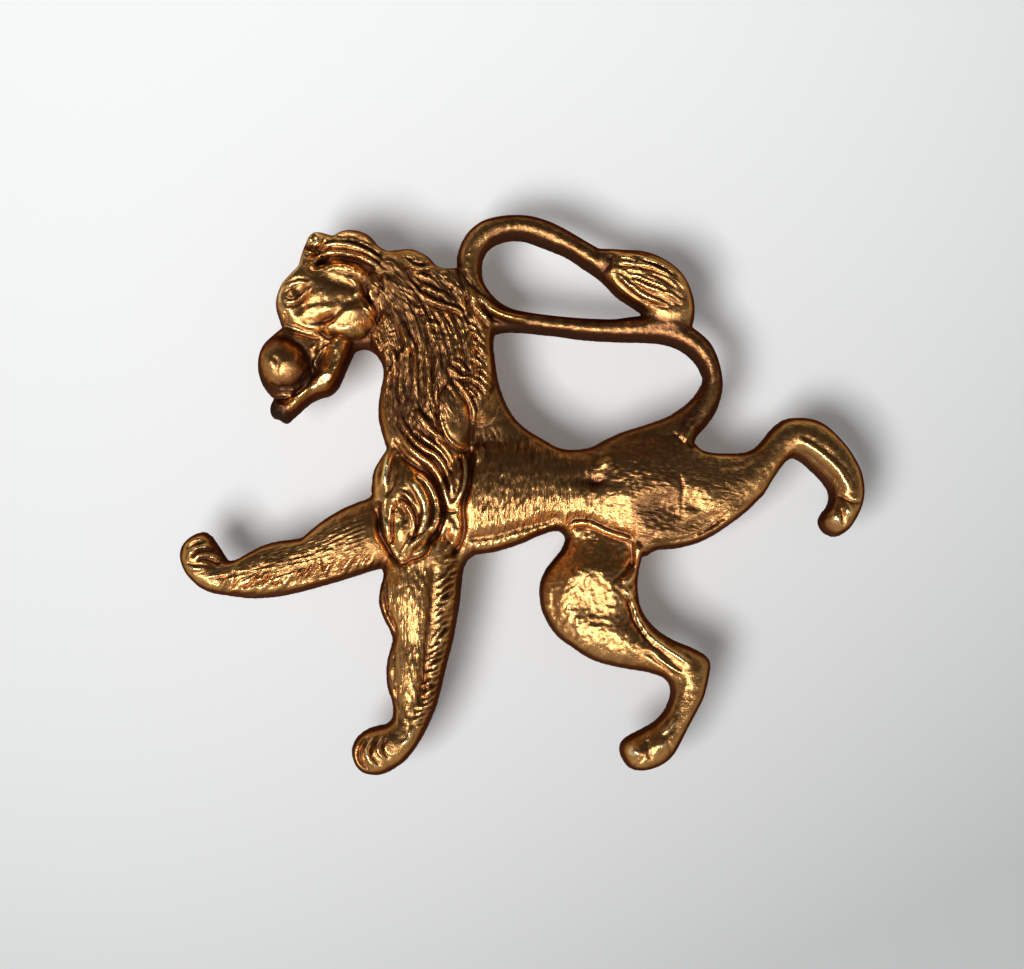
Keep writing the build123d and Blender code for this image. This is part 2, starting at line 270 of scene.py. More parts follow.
tail_line = [(10.2, 3.3, 1.1, 2.5), (10.95, 4.3, .86, 2.25), (11.75, 5.25, .78, 2.1),
             (12.3, 6.25, .74, 2.05), (12.58, 7.3, .72, 2.05), (12.42, 8.5, .74, 2.05),
             (11.8, 9.5, .8, 2.05), (10.6, 10.35, .86, 2.05), (9.0, 10.85, .88, 2.05),
             (7.0, 10.88, .82, 2.05), (5.0, 10.9, .76, 2.05), (3.0, 11.05, .71, 2.05),
             (1.0, 11.3, .73, 2.05), (-0.6, 11.5, .77, 2.15), (-1.9, 12.05, .8, 2.25),
             (-2.9, 13.05, .78, 2.35), (-3.4, 14.2, .76, 2.25), (-3.5, 15.3, .8, 2.15),
             (-3.1, 16.5, .85, 2.1), (-2.1, 17.3, .86, 2.1), (-0.85, 17.66, .87, 2.1),
             (0.45, 17.62, .87, 2.1), (1.7, 17.18, .87, 2.1), (2.9, 16.58, .88, 2.1),
             (4.1, 15.92, .89, 2.15), (5.3, 15.2, .96, 2.3)]
tuft_line = [(5.2, 15.35, .95, 2.3), (6.4, 14.8, 1.35, 2.6), (7.5, 14.3, 1.68, 2.85),
             (8.6, 13.8, 1.9, 2.95), (9.4, 13.15, 1.95, 2.85), (9.75, 12.45, 1.65, 2.55)]
reach_line = [(-8.6, -2.3, 2.3, 2.6), (-10.9, -3.05, 2.25, 2.85), (-12.5, -3.7, 2.1, 2.8),
              (-14.0, -4.45, 1.85, 2.65), (-15.4, -4.8, 1.78, 2.5), (-16.8, -5.05, 1.8, 2.45),
              (-18.1, -5.3, 1.55, 2.4), (-19.4, -5.5, 1.2, 2.3), (-20.6, -5.2, 1.25, 2.35),
              (-21.25, -4.4, 1.25, 2.45), (-21.2, -3.6, 1.18, 2.45)]
torso_line = [(-5.5, -.1, 3.9, 3.3), (-2.5, 0.0, 4.1, 3.4), (-1.0, .1, 3.9, 3.4), (0.0, .25, 3.75, 3.35),
              (1.0, .3, 3.55, 3.3), (1.8, .25, 3.2, 3.25), (2.5, .2, 2.85, 3.2), (3.2, .15, 2.8, 3.15),
              (4.0, .1, 2.9, 3.15), (5.0, 0.0, 3.2, 3.2), (6.0, 0.0, 3.75, 3.25), (7.0, 0.0, 4.1, 3.35),
              (8.2, -.1, 4.4, 3.4), (9.3, -.1, 4.5, 3.45), (10.5, -.1, 4.1, 3.4), (12.0, -.1, 3.4, 3.2)]
stretch_line = [(11.0, .2, 3.3, 3.2), (12.4, .1, 2.85, 3.1), (13.6, .42, 2.2, 2.95),
                (14.9, 1.05, 1.72, 2.75), (16.0, 2.0, 1.4, 2.6), (16.9, 3.1, 1.3, 2.5),
                (18.0, 3.75, 1.36, 2.5), (19.2, 3.42, 1.42, 2.5), (20.4, 2.45, 1.42, 2.5),
                (21.2, 1.1, 1.3, 2.45), (21.4, -0.35, 1.18, 2.4), (20.8, -1.55, 1.22, 2.45)]
thigh_line = [(5.3, -3.2, 2.3, 2.35), (4.9, -4.9, 3.1, 2.85), (4.7, -6.6, 3.4, 3.15),
              (5.1, -8.1, 2.95, 3.0), (6.2, -9.2, 2.15, 2.75), (7.5, -9.95, 1.6, 2.55),
              (9.2, -10.7, 1.25, 2.45), (10.5, -11.2, 1.25, 2.45), (11.1, -11.8, 1.25, 2.45),
              (10.95, -13.0, 1.18, 2.35), (10.45, -14.2, 1.08, 2.3), (9.75, -15.3, 1.08, 2.35),
              (8.9, -16.3, 1.28, 2.5), (7.75, -16.9, 1.3, 2.55)]
neck_line = [(-9.4, 13.6, 2.3, 3.3), (-7.8, 12.8, 3.1, 3.6), (-6.5, 10.4, 3.6, 3.75),
             (-6.0, 7.8, 3.7, 3.75), (-6.1, 5.0, 3.45, 3.7), (-6.4, 2.4, 3.0, 3.7)]
nape_line = [(-5.5, 14.0, 1.3, 2.7), (-4.2, 12.8, 1.7, 2.9), (-3.5, 11.0, 1.7, 2.95),
             (-3.2, 8.6, 1.55, 3.0), (-3.1, 6.8, 1.4, 3.0), (-2.9, 5.4, 1.4, 2.9)]
crest_line = [(-13.6, 16.5, .95, 3.0), (-12.4, 15.9, 1.3, 3.2), (-11.2, 16.05, 1.45, 3.3),
              (-10.0, 15.4, 1.5, 3.35), (-8.6, 14.7, 1.5, 3.3), (-7.2, 14.75, 1.55, 3.2),
              (-6.0, 14.2, 1.45, 3.0), (-4.6, 13.8, 1.2, 2.7)]
shoulder_line = [(-6.9, 1.4, 2.9, 3.6), (-7.0, -0.6, 2.85, 3.75), (-6.9, -2.4, 2.6, 3.6),
                 (-6.6, -3.6, 2.2, 3.3)]
fore_line = [(-6.55, -3.6, 2.75, 3.1), (-6.62, -5.2, 2.7, 3.1), (-6.7, -6.8, 2.68, 3.05),
             (-6.55, -8.4, 2.22, 2.85), (-6.5, -9.6, 1.98, 2.7), (-6.75, -11.2, 2.0, 2.65),
             (-6.95, -12.8, 1.75, 2.55), (-7.15, -14.2, 1.38, 2.5), (-7.7, -15.6, 1.25, 2.55),
             (-8.6, -16.4, 1.45, 2.7), (-9.65, -16.85, 1.62, 2.75)]
skull_line = [(-13.9, 13.4, 2.15, 3.65), (-13.0, 13.0, 2.4, 3.7), (-12.0, 12.8, 2.4, 3.65),
              (-11.3, 12.8, 1.9, 3.6)]
bridge_line = [(-13.9, 15.5, 1.0, 3.0), (-14.3, 14.3, 1.5, 3.5), (-14.85, 12.9, 1.55, 3.7),
               (-15.0, 12.0, 1.3, 3.6), (-14.6, 11.4, 1.2, 3.3), (-13.6, 11.2, 1.1, 3.3)]
muzzle_line = [(-15.8, 8.6, 1.72, 3.85), (-15.55, 8.4, 1.8, 3.9)]
mouth_line = [(-14.6, 10.0, 1.2, 2.5), (-14.0, 8.8, 1.4, 2.35), (-14.2, 7.6, 1.1, 2.2)]
jaw_line = [(-11.9, 9.9, .85, 2.95), (-12.25, 9.0, 1.0, 3.1), (-12.6, 8.1, 1.12, 3.15),
            (-13.1, 7.35, 1.0, 3.05), (-14.0, 6.6, .72, 2.8), (-14.9, 5.95, .62, 2.55),
            (-15.7, 5.5, .8, 2.5)]
hinge_line = [(-12.5, 10.85, .7, 3.3), (-11.8, 11.05, 1.1, 3.7), (-11.0, 11.5, 1.45, 3.95),
              (-10.4, 11.75, 1.3, 3.75)]

ground = rim + 1.0 * (1 - np.exp(-np.maximum(edge, 0) / 0.6))
hind = blend(mass(stretch_line, .75), mass(torso_line, .68), .25)
hind = blend(hind, mass(tail_line, .85), .3)
legs = overlap(mass(reach_line, .7), mass(thigh_line, .8))
body = overlap(legs, hind, .12)
mane = blend(blend(mass(neck_line, .5), mass(nape_line, .6), .35), mass(crest_line, .6), .3)
front = blend(mass(fore_line, .72), mass(shoulder_line, .45), .25)
body = overlap(body, front, .2)
body = overlap(body, mane, .15)
body = overlap(body, mass(tuft_line, .5), .1)
head = blend(mass(skull_line, .5), mass(bridge_line, .6), .35)
head = blend(head, mass(hinge_line, .5), .45)
lower = blend(mass(mouth_line, .6), mass(jaw_line, .7), .15)
body = overlap(body, lower, .1)
body = overlap(body, head, .2)
body = overlap(body, mass(muzzle_line, .5), .2)
relief = blend(ground, body, .12)


def taper(along, ends=0.22):
    """Fades a line out toward both of its ends."""
    return unit(np.minimum(along, 1 - along) / ends) ** 0.6


def ridge(points, half_width, height, trench=0.5, ends=0.22):
    """A raised lock or fold, with a fine cut down each side."""
    line = curve(points)
    window, dist, along, _, _, _ = trace(line, half_width * 2.6)
    r = dist / half_width
    top = np.maximum(1 - r ** 2, 0)
    cut = np.exp(-((r - 1.25) / 0.4) ** 2)
    relief[window] += height * (top - trench * cut) * taper(along, ends)


def groove(points, half_width, depth, ends=0.15):
    """A cut line."""
    line = curve(points)
    window, dist, along, _, _, _ = trace(line, half_width * 3)
    relief[window] -= depth * np.exp(-(dist / half_width) ** 2) * taper(along, ends)


def turned(dx, dy, turn):
    """Offsets from a place, measured along and across a direction."""
    c, s = math.cos(turn), math.sin(turn)
    return dx * c + dy * s, dy * c - dx * s


def swell(x, y, across, along, turn, height, power=2.0):
    """A low boss, or a hollow when the height is negative."""
    u, v = turned(X - x, Y - y, math.radians(turn))
    r = (u / across) ** 2 + (v / along) ** 2
    relief[:] += height * np.exp(-r ** (power / 2))


def facet(x, y, across, along, turn, lean_x, lean_y, height):
    """A flattened plane that rises by lean_x and lean_y per millimetre."""
    u, v = turned(X - x, Y - y, math.radians(turn))
    share = .95 * np.exp(-((u / across) ** 2 + (v / along) ** 2) ** 2)
    relief[:] += (height + lean_x * (X - x) + lean_y * (Y - y) - relief) * share


def between(first, last, count, half_width, height, trench=0.5, sway=0.12, seed=1, cut=False):
    """Locks that flow between two guide lines."""
    a, b = curve(first, 0.4), curve(last, 0.4)
    n = 14
    a = np.array([a[int(round(k * (len(a) - 1) / (n - 1)))] for k in range(n)])
    b = np.array([b[int(round(k * (len(b) - 1) / (n - 1)))] for k in range(n)])
    rng = np.random.RandomState(seed)
    for k in range(count):
        share = (k + 0.5) / count
        wander = sway * np.sin(np.linspace(0, 6, n) + rng.rand() * 6) * rng.uniform(.4, 1)
        mid = a + (b - a) * share
        turn = np.gradient(mid, axis=0)
        turn /= np.maximum(np.hypot(turn[:, 0], turn[:, 1]), 1e-6)[:, None]
        mid = mid + np.stack([-turn[:, 1], turn[:, 0]], 1) * wander[:, None]
        head, foot = rng.randint(0, 3), n - rng.randint(0, 3)
        if cut:
            groove(mid[head:foot], half_width, height * rng.uniform(.7, 1.2))
        else:
            ridge(mid[head:foot], half_width * rng.uniform(.8, 1.2), height * rng.uniform(.75, 1.25),
                  trench)


def streaks(u, v, seed):
    """Seeded ridges that run along u and vary across v, from 0 to 1."""
    table = np.random.RandomState(seed).rand(61, 257)
    i, j = np.floor(u).astype(int), np.floor(v).astype(int)
    u, v = u - i, v - j
    u, v = u * u * (3 - 2 * u), v * v * (3 - 2 * v)
    i, j, k, m = i % 61, j % 257, (i + 1) % 61, (j + 1) % 257
    level = (table[i, j] * (1 - u) + table[k, j] * u) * (1 - v) + (table[i, m] * (1 - u) + table[k, m]
                                                                   * u) * v
    return 1 - abs(2 * level - 1)


finest = 8.0           # fine hair lines between two guide lines
comb_run, comb_across, comb_depth = np.zeros(X.shape), np.zeros(X.shape), np.zeros(X.shape)


def lay(run, across, depth):
    """Lays fine hair lines of the finish along one direction."""
    mine = depth > comb_depth
    comb_run[mine], comb_across[mine], comb_depth[mine] = run[mine], across[mine], depth[mine]


def combed(guides, strands, length, height, seed, reach=1.2):
    """Irregular hair that follows guide lines and fills the space between."""
    shape = (len(guides),) + X.shape
    far, run, side = np.full(shape, afar), np.zeros(shape), np.zeros(shape)
    for k, guide in enumerate(guides):
        window, dist, along, off, _, walked = trace(curve(guide), 2.2)
        far[k][window], run[k][window], side[k][window] = dist, along * walked, off
    near = far.argmin(0)
    toward = near + np.where(np.take_along_axis(side, near[None], 0)[0] > 0, 1, -1)
    known = np.clip(toward, 0, len(guides) - 1)
    a, b = np.take_along_axis(far, near[None], 0)[0], np.take_along_axis(far, known[None], 0)[0]
    share = np.where(known == toward, a / np.maximum(a + b, 1e-6), a)
    u = np.take_along_axis(run, near[None], 0)[0]
    u = u + (np.take_along_axis(run, known[None], 0)[0] - u) * np.clip(share, 0, .5)
    v = near + (toward - near) * share
    hair = streaks(u / length, v * strands + 40, seed) ** 1.3
    hair = hair + .45 * streaks(u / length * 1.7, v * strands * 2.1 + 40, seed + 1)
    fade = unit((reach - a) / .4)
    relief[:] += height * (hair - .75) * fade
    lay(u, v * finest + 7 * seed, fade)


def stamp(x, y, turn, size, half_width, height):
    """One short hair: a long hump that fades at both ends."""
    dx, dy = math.cos(turn) * size / 2, math.sin(turn) * size / 2
    i0, i1 = span(x - abs(dx) - .3, x + abs(dx) + .3, xs[0], len(xs))
    j0, j1 = span(y - abs(dy) - .3, y + abs(dy) + .3, ys[0], len(ys))
    u, v = turned(X[j0:j1, i0:i1] - x, Y[j0:j1, i0:i1] - y, turn)
    p, q = u / (size / 2), v / half_width
    hump = np.exp(-q ** 2) - .45 * np.exp(-(abs(q) - 1.7) ** 2)
    relief[j0:j1, i0:i1] += height * unit(1 - p ** 2) * hump


def fringe(points, pitch, lean, low, high, half_width, height, seed):
    """A row of short locks that lean off a line, no two quite alike."""
    rng = np.random.RandomState(seed)
    line = curve(points, pitch)
    for (ax, ay), (bx, by) in zip(line, line[1:]):
        turn = math.atan2(by - ay, bx - ax)
        off = rng.uniform(low, high)
        x, y = ax - math.sin(turn) * off, ay + math.cos(turn) * off
        lie = turn + math.radians(lean + rng.normal(0, 9))
        size = (high - low + .25) * rng.uniform(.7, 1.35)
        stamp(x, y, lie, size, half_width * rng.uniform(.8, 1.3), height * rng.uniform(.5, 1.25))


def strokes(where, heading, count, length, half_width, height, seed):
    """Short hair strokes, scattered where the mask is set."""
    rng = np.random.RandomState(seed)
    rows, cols = np.nonzero(where)
    for k in rng.randint(0, len(rows), count):
        x, y = xs[cols[k]], ys[rows[k]]
        turn = heading(x, y) + rng.normal(0, 0.14)
        stamp(x, y, turn, length * rng.uniform(.6, 1.3), half_width, height * rng.uniform(.5, 1.2))


# Head: brows, temple, eye, cheek, lips and jaw.
relief = soften(relief, 1)
groove([(-13.6, 14.75), (-12.8, 15.0), (-11.8, 15.05), (-10.8, 14.9), (-10.0, 14.4), (-9.65, 13.7)],
       .24, .34)
groove([(-10.2, 14.5), (-10.3, 13.7), (-10.15, 12.9), (-9.8, 12.3)], .2, .34)
facet(-11.6, 14.2, 1.5, .85, -16, .1, .36, 3.58)
ridge([(-11.35, 14.05), (-10.8, 13.6), (-10.7, 13.05), (-10.8, 12.7)], .22, .2, .3)
ridge([(-10.35, 12.75), (-10.0, 12.25), (-9.75, 11.8)], .13, .26)
ridge([(-10.5, 12.35), (-10.15, 11.95), (-9.85, 11.6)], .1, .22)
ridge([(-10.05, 13.2), (-9.85, 12.7), (-9.65, 12.2)], .13, .26)
ridge([(-13.7, 14.95), (-13.2, 15.4), (-12.3, 15.62), (-11.2, 15.52), (-10.3, 15.22), (-9.6, 14.8),
       (-9.1, 14.3)], .22, .5, .6, .12)
ridge([(-13.2, 15.75), (-12.2, 15.92), (-11.2, 15.8), (-10.3, 15.5), (-9.5, 15.0), (-8.9, 14.45)],
      .12, .3, .6, .12)
ridge([(-12.9, 16.12), (-12.0, 16.22), (-11.1, 16.08), (-10.2, 15.72), (-9.4, 15.2), (-8.8, 14.65)],
      .14, .38, .6, .12)
groove([(-12.8, 16.42), (-12.0, 16.5), (-11.0, 16.38), (-10.0, 15.95), (-9.1, 15.35)], .14, .25)
ridge([(-12.3, 16.85), (-11.6, 17.0), (-10.8, 16.85), (-10.0, 16.5), (-9.3, 16.05)], .15, .3)
ridge([(-11.8, 17.25), (-11.1, 17.25), (-10.4, 17.0)], .1, .16)
ridge([(-12.1, 16.62), (-11.1, 16.62), (-10.2, 16.28), (-9.3, 15.7)], .1, .2)
for k in range(5):
    groove([(-12.35 + .38 * k, 14.55 - .06 * k), (-12.05 + .38 * k, 14.36 - .08 * k),
            (-11.75 + .38 * k, 14.2 - .1 * k)], .06, .09)
swell(-13.6, 16.6, .55, .55, 0, .5, 4)
groove([(-14.25, 16.9), (-14.35, 16.4), (-14.05, 16.0), (-13.55, 15.85), (-13.1, 16.1), (-13.0, 16.5)],
       .12, .3)
groove([(-13.95, 16.9), (-13.6, 16.65), (-13.45, 16.3)], .09, .28)
groove([(-13.3, 16.95), (-13.25, 16.6), (-13.5, 16.35), (-13.8, 16.45)], .07, .22)
swell(-12.72, 16.58, .16, .16, 0, .3, 3)
groove([(-14.3, 15.6), (-13.9, 15.45), (-13.55, 15.6)], .1, .16)
ridge([(-14.5, 15.4), (-14.1, 15.2), (-13.85, 15.15)], .1, .15)
swell(-14.75, 13.0, 1.1, .62, 28, -.24, 3)
swell(-14.98, 12.92, .3, .29, 0, .4, 4)
groove([(-15.3, 12.94), (-15.18, 13.18), (-14.92, 13.18), (-14.76, 12.94), (-14.9, 12.7), (-15.14, 12.7),
        (-15.3, 12.94)], .05, .3, .001)
swell(-14.99, 12.94, .1, .1, 0, .14, 4)
ridge([(-15.3, 13.3), (-15.0, 13.5), (-14.45, 13.66), (-13.9, 13.6)], .14, .3, .5, .12)
groove([(-15.8, 13.15), (-15.4, 13.6), (-14.9, 13.85), (-14.3, 13.95)], .1, .1)
ridge([(-15.45, 12.55), (-15.15, 12.32), (-14.7, 12.45), (-14.25, 12.8), (-13.9, 13.3)],
      .13, .32, .6, .12)
groove([(-15.3, 12.2), (-14.8, 12.15), (-14.3, 12.45), (-13.85, 12.95)], .1, .16)
ridge([(-14.8, 13.3), (-14.4, 13.4), (-14.15, 13.5)], .13, .18, .2)
ridge([(-16.0, 12.3), (-15.8, 12.05), (-15.6, 11.85)], .12, .16)
ridge([(-15.7, 11.75), (-15.5, 11.4), (-15.6, 11.1)], .16, .26)
groove([(-15.25, 11.75), (-15.3, 11.35), (-15.0, 11.1)], .12, .2)
groove([(-15.85, 11.9), (-15.75, 11.5), (-15.85, 11.2)], .08, .16)
ridge([(-15.75, 11.0), (-15.2, 10.82), (-14.6, 10.6), (-14.0, 10.42), (-13.4, 10.32), (-12.95, 10.15)],
      .13, .34, .8, .1)
swell(-13.25, 11.75, 1.35, .34, 14, .22, 3)
swell(-12.75, 11.25, .75, .15, 14, -.24, 3)
facet(-11.35, 11.25, 1.0, .5, 22, .1, .36, 3.6)
facet(-13.55, 11.85, .9, .3, 8, .1, .38, 3.55)
swell(-13.9, 11.15, .7, .25, -8, -.12, 3)
for k in range(4):
    ridge([(-13.5 + .32 * k, 9.7 + .05 * k), (-13.3 + .34 * k, 10.0), (-13.0 + .36 * k, 10.12)], .09, .26)
ridge([(-13.75, 9.4), (-13.35, 9.75)], .16, .3)
swell(-12.72, 8.75, .7, .42, 68, -.34, 3)
ridge([(-13.45, 7.95), (-13.5, 8.6), (-13.2, 9.2), (-12.75, 9.6), (-12.2, 9.7)], .12, .32, .6)
ridge([(-11.9, 9.3), (-11.95, 8.6), (-12.2, 8.0)], .16, .16)
swell(-12.75, 7.5, .7, .42, 35, .3, 3)
facet(-12.75, 7.4, .5, .32, 35, .12, .38, 3.2)
ridge([(-14.8, 6.1), (-14.3, 6.5), (-13.8, 6.95)], .2, .35)
groove([(-13.75, 9.2), (-13.85, 8.4), (-13.7, 7.7), (-14.2, 6.98), (-14.8, 6.55), (-15.5, 6.3)], .12, .34)
for k in range(4):
    ridge([(-14.75 + .15 * k, 7.1 + .15 * k), (-14.3 + .13 * k, 7.45 + .14 * k),
           (-14.0 + .07 * k, 8.0 + .12 * k)], .07, .2)
groove([(-16.55, 7.25), (-15.9, 6.95), (-15.2, 6.95), (-14.6, 7.2), (-14.1, 7.8), (-13.95, 8.6)],
       .1, .3, .1)
ridge([(-16.3, 7.15), (-15.6, 7.02), (-15.0, 7.08), (-14.5, 7.4)], .08, .24)
ridge([(-16.2, 6.85), (-15.5, 6.75), (-14.9, 6.8), (-14.4, 7.1)], .08, .24)
ridge([(-16.0, 6.55), (-15.4, 6.45), (-14.9, 6.5)], .08, .2)
swell(-16.35, 8.2, .4, .45, 20, .1, 3)
swell(-15.1, 8.3, .5, .4, 35, .1, 3)
groove([(-16.05, 8.8), (-15.8, 8.4), (-15.9, 7.95), (-16.2, 7.75)], .09, .12)
groove([(-14.6, 9.1), (-14.45, 8.7), (-14.6, 8.3)], .07, .12)
groove([(-14.35, 9.0), (-14.2, 8.55), (-14.35, 8.1)], .07, .12)
ridge([(-16.2, 5.9), (-15.8, 5.75), (-15.5, 5.68)], .13, .26)
groove([(-16.6, 6.2), (-15.9, 6.25), (-15.2, 6.1)], .12, .3)
groove([(-16.1, 4.9), (-15.95, 5.2), (-15.7, 5.4)], .1, .18)

# Mane: long locks from behind the cheek to the chest.
throat = [(-10.1, 11.0), (-9.7, 10.0), (-9.35, 9.2), (-9.2, 8.0), (-9.3, 6.6), (-9.3, 5.2), (-8.9, 3.6)]
cheek = [(-9.5, 12.6), (-8.95, 11.0), (-8.4, 9.6), (-8.2, 8.2), (-8.3, 6.8), (-8.0, 5.2), (-7.3, 3.9)]
side = [(-9.2, 14.0), (-8.2, 12.4), (-7.4, 10.6), (-7.0, 8.8), (-7.0, 7.0), (-6.9, 5.6), (-6.2, 4.0)]
middle = [(-8.6, 14.6), (-7.2, 13.2), (-6.1, 11.2), (-5.6, 9.2), (-5.6, 7.4), (-5.5, 5.9), (-5.2, 4.2)]
back = [(-7.0, 14.0), (-5.7, 12.6), (-4.6, 10.9), (-4.1, 9.2), (-4.0, 8.3)]
nape = [(-5.6, 14.9), (-4.3, 13.6), (-3.4, 12.0), (-2.8, 10.4), (-2.6, 8.6), (-2.5, 7.0), (-2.7, 5.6)]
calm = 1 - .65 * np.exp(-((X + 8.3) / 1.3) ** 2 - ((Y - 5.6) / 2.0) ** 2)
neck_height = .17 * np.clip((Y - 1.5) / 8, .35, 1) * calm
combed([throat, cheek, side, middle, back + [(-3.9, 7.0)], nape], 3.6, 6.5, neck_height, 3)
combed([[(-13.4, 15.0), (-12.0, 15.35), (-10.6, 15.0), (-9.5, 14.2), (-8.9, 13.4)],
        [(-13.2, 16.5), (-12.0, 16.9), (-10.5, 16.6), (-9.2, 15.7), (-8.0, 15.0), (-6.8, 14.0)],
        [(-12.4, 17.2), (-11.2, 17.4), (-9.8, 16.7), (-8.6, 16.1), (-7.2, 15.7), (-5.6, 14.6)]],
       3.0, 3.4, .12, 8, 1.0)
between(throat[:5], cheek[:5], 2, .09, .22, .5, .1, 61, cut=True)
between(cheek[:6], side[:6], 3, .1, .24, .5, .14, 62, cut=True)
between(side, middle, 3, .1, .26, .5, .16, 63, cut=True)
between(middle[:5], back, 3, .1, .26, .5, .16, 64, cut=True)
between(back, nape, 2, .1, .24, .5, .1, 65, cut=True)
between(throat[:5], cheek[:5], 4, .12, .16, .6, .12, 3)
between(side, middle, 3, .15, .16, .5, .2, 5)
between(middle[:5], back, 3, .13, .18, .6, .2, 6)
ridge([(-7.85, 11.0), (-7.6, 10.3), (-7.35, 9.6), (-7.7, 8.9)], .28, .3)
ridge([(-7.0, 12.1), (-6.7, 11.8), (-6.4, 11.9)], .18, .2)
ridge([(-6.2, 11.0), (-5.8, 10.95), (-5.4, 10.7)], .2, .22)
for k in range(7):
    ridge([(-9.95 + .14 * k, 10.15 + .27 * k), (-9.5 + .16 * k, 9.95 + .16 * k),
           (-9.15 + .16 * k, 9.4 + .06 * k)], .08, .2)
ridge([(-8.95, 9.4), (-9.0, 8.9), (-8.9, 8.3), (-8.75, 7.8)], .18, .3)
ridge([(-8.55, 9.5), (-8.4, 8.9), (-8.4, 8.2), (-8.65, 7.7), (-8.9, 7.4)], .15, .32)
ridge([(-9.05, 14.3), (-8.95, 13.7), (-8.75, 13.1)], .2, .34)
for k in range(3):
    ridge([(-9.0, 14.2 - .1 * k), (-8.4, 13.6 - .2 * k), (-7.6, 13.25 - .3 * k), (-7.0, 13.0 - .5 * k)],
          .09, .24)
    ridge([(-9.3, 13.5 - .1 * k), (-9.25 + .1 * k, 13.1), (-9.3 + .15 * k, 12.7)], .08, .2)
ridge([(-7.85, 15.25), (-7.3, 14.8), (-6.7, 14.58), (-6.1, 14.62), (-5.7, 14.7)], .22, .4)
ridge([(-7.9, 15.5), (-7.3, 15.46), (-6.7, 15.45)], .1, .2)
ridge([(-7.2, 15.15), (-6.5, 15.02), (-5.8, 15.0)], .1, .2)
ridge([(-7.2, 14.5), (-6.7, 14.2), (-6.1, 13.95), (-5.7, 13.8)], .13, .28)
ridge([(-5.3, 14.6), (-4.8, 14.55)], .13, .24)
ridge([(-6.6, 13.5), (-6.0, 13.2), (-5.5, 13.0), (-5.0, 12.8)], .2, .34)
ridge([(-6.7, 13.1), (-6.2, 12.6), (-5.6, 12.3), (-5.0, 12.15), (-4.4, 12.0), (-3.75, 11.65)], .17, .42)
for k in range(4):
    ridge([(-5.3 + .17 * k, 13.9 - .02 * k), (-4.95 + .17 * k, 13.5), (-4.6 + .12 * k, 12.95)], .07, .2)
for k in range(6):
    ridge([(-6.0 + .4 * k, 12.2 - .1 * k), (-5.3 + .36 * k, 11.3 - .15 * k),
           (-4.8 + .24 * k, 10.4 - .1 * k),
           (-4.5 + .14 * k, 9.5)], .09, .22)
for k in range(7):
    ridge([(-6.1 + .22 * k, 10.5 - .05 * k), (-5.6 + .2 * k, 9.8), (-5.2 + .16 * k, 9.1)], .07, .17)
groove([(-4.15, 15.0), (-4.05, 14.0), (-3.75, 13.3)], .12, .2)
groove([(-3.7, 12.9), (-3.55, 12.2), (-3.4, 11.5)], .14, .25)
ridge([(-3.5, 13.5), (-3.1, 12.95), (-2.5, 12.45), (-1.9, 12.0), (-1.0, 11.62), (.4, 11.42)], .33, .42)
ridge([(-3.45, 13.0), (-3.0, 12.3), (-2.5, 11.6), (-2.0, 11.05)], .24, .42)
groove([(-3.1, 12.7), (-2.5, 12.1), (-2.0, 11.6)], .1, .3)
for k, (x, y, size) in enumerate([(-3.5, 11.05, .8), (-3.4, 10.65, 1.1), (-3.2, 9.98, .9),
                                  (-3.15, 9.7, 1.1),
                                  (-3.25, 8.85, 1.2), (-2.85, 8.2, 1.0), (-3.0, 7.8, 1.2),
                                  (-3.15, 7.4, 1.3),
                                  (-3.5, 7.05, 1.1), (-3.8, 7.0, 1.0), (-3.55, 6.7, .7)]):
    ridge([(x, y), (x + .38 * size, y - .3 * size), (x + .78 * size, y - .78 * size)], .13, .34, .7)
groove([(-2.0, 10.9), (-1.98, 9.6), (-1.95, 8.2), (-2.0, 7.0), (-2.4, 5.9)], .14, .3)
ridge([(-4.8, 8.2), (-4.4, 7.8), (-3.95, 7.45), (-3.5, 7.5), (-3.2, 7.45)], .14, .36)
ridge([(-4.35, 8.6), (-4.05, 8.3), (-3.75, 7.9), (-3.6, 7.7)], .22, .34)
ridge([(-4.8, 8.0), (-4.5, 7.6), (-4.1, 7.35)], .1, .24)

# Leaf locks and the long curls that gather at the shoulder.
swell(-4.3, 4.9, .95, 1.95, 8, .42, 5)
groove([(-4.9, 7.2), (-5.4, 6.3), (-5.55, 5.2), (-5.3, 4.1), (-4.8, 3.2), (-4.1, 2.7), (-3.5, 2.75)],
       .09, .3, .08)
groove([(-4.6, 6.8), (-4.0, 6.2), (-3.6, 5.5), (-3.4, 4.6), (-3.45, 3.7)], .07, .2, .08)
ridge([(-5.15, 6.5), (-5.32, 5.6), (-5.3, 4.9), (-5.05, 4.0), (-4.7, 3.4), (-4.1, 2.95), (-3.7, 2.8)],
      .1, .3)
ridge([(-4.45, 7.45), (-3.9, 6.8), (-3.45, 6.1), (-3.15, 5.3), (-3.15, 4.5)], .15, .42)
ridge([(-4.9, 7.15), (-4.6, 6.75), (-4.2, 6.3)], .12, .28)
for k in range(5):
    groove([(-4.75 + .1 * k, 6.2), (-4.8 + .22 * k, 5.0), (-4.55 + .2 * k, 3.9)], .05, .09)
swell(-2.72, 2.65, .34, .6, -10, .26, 4)
groove([(-2.95, 3.3), (-3.1, 2.7), (-2.95, 2.1)], .08, .18)
groove([(-2.55, 3.3), (-2.35, 2.7), (-2.6, 2.1)], .07, .15)
swell(-6.25, 4.45, .75, .34, -48, .34, 3)
ridge([(-6.9, 5.3), (-6.4, 4.6), (-5.9, 4.0), (-5.5, 3.65), (-5.1, 3.4)], .22, .34)
ridge([(-6.3, 6.2), (-6.1, 5.4), (-5.8, 4.8)], .14, .2)
ridge([(-5.7, 7.2), (-5.6, 6.2), (-5.65, 5.2)], .14, .18)
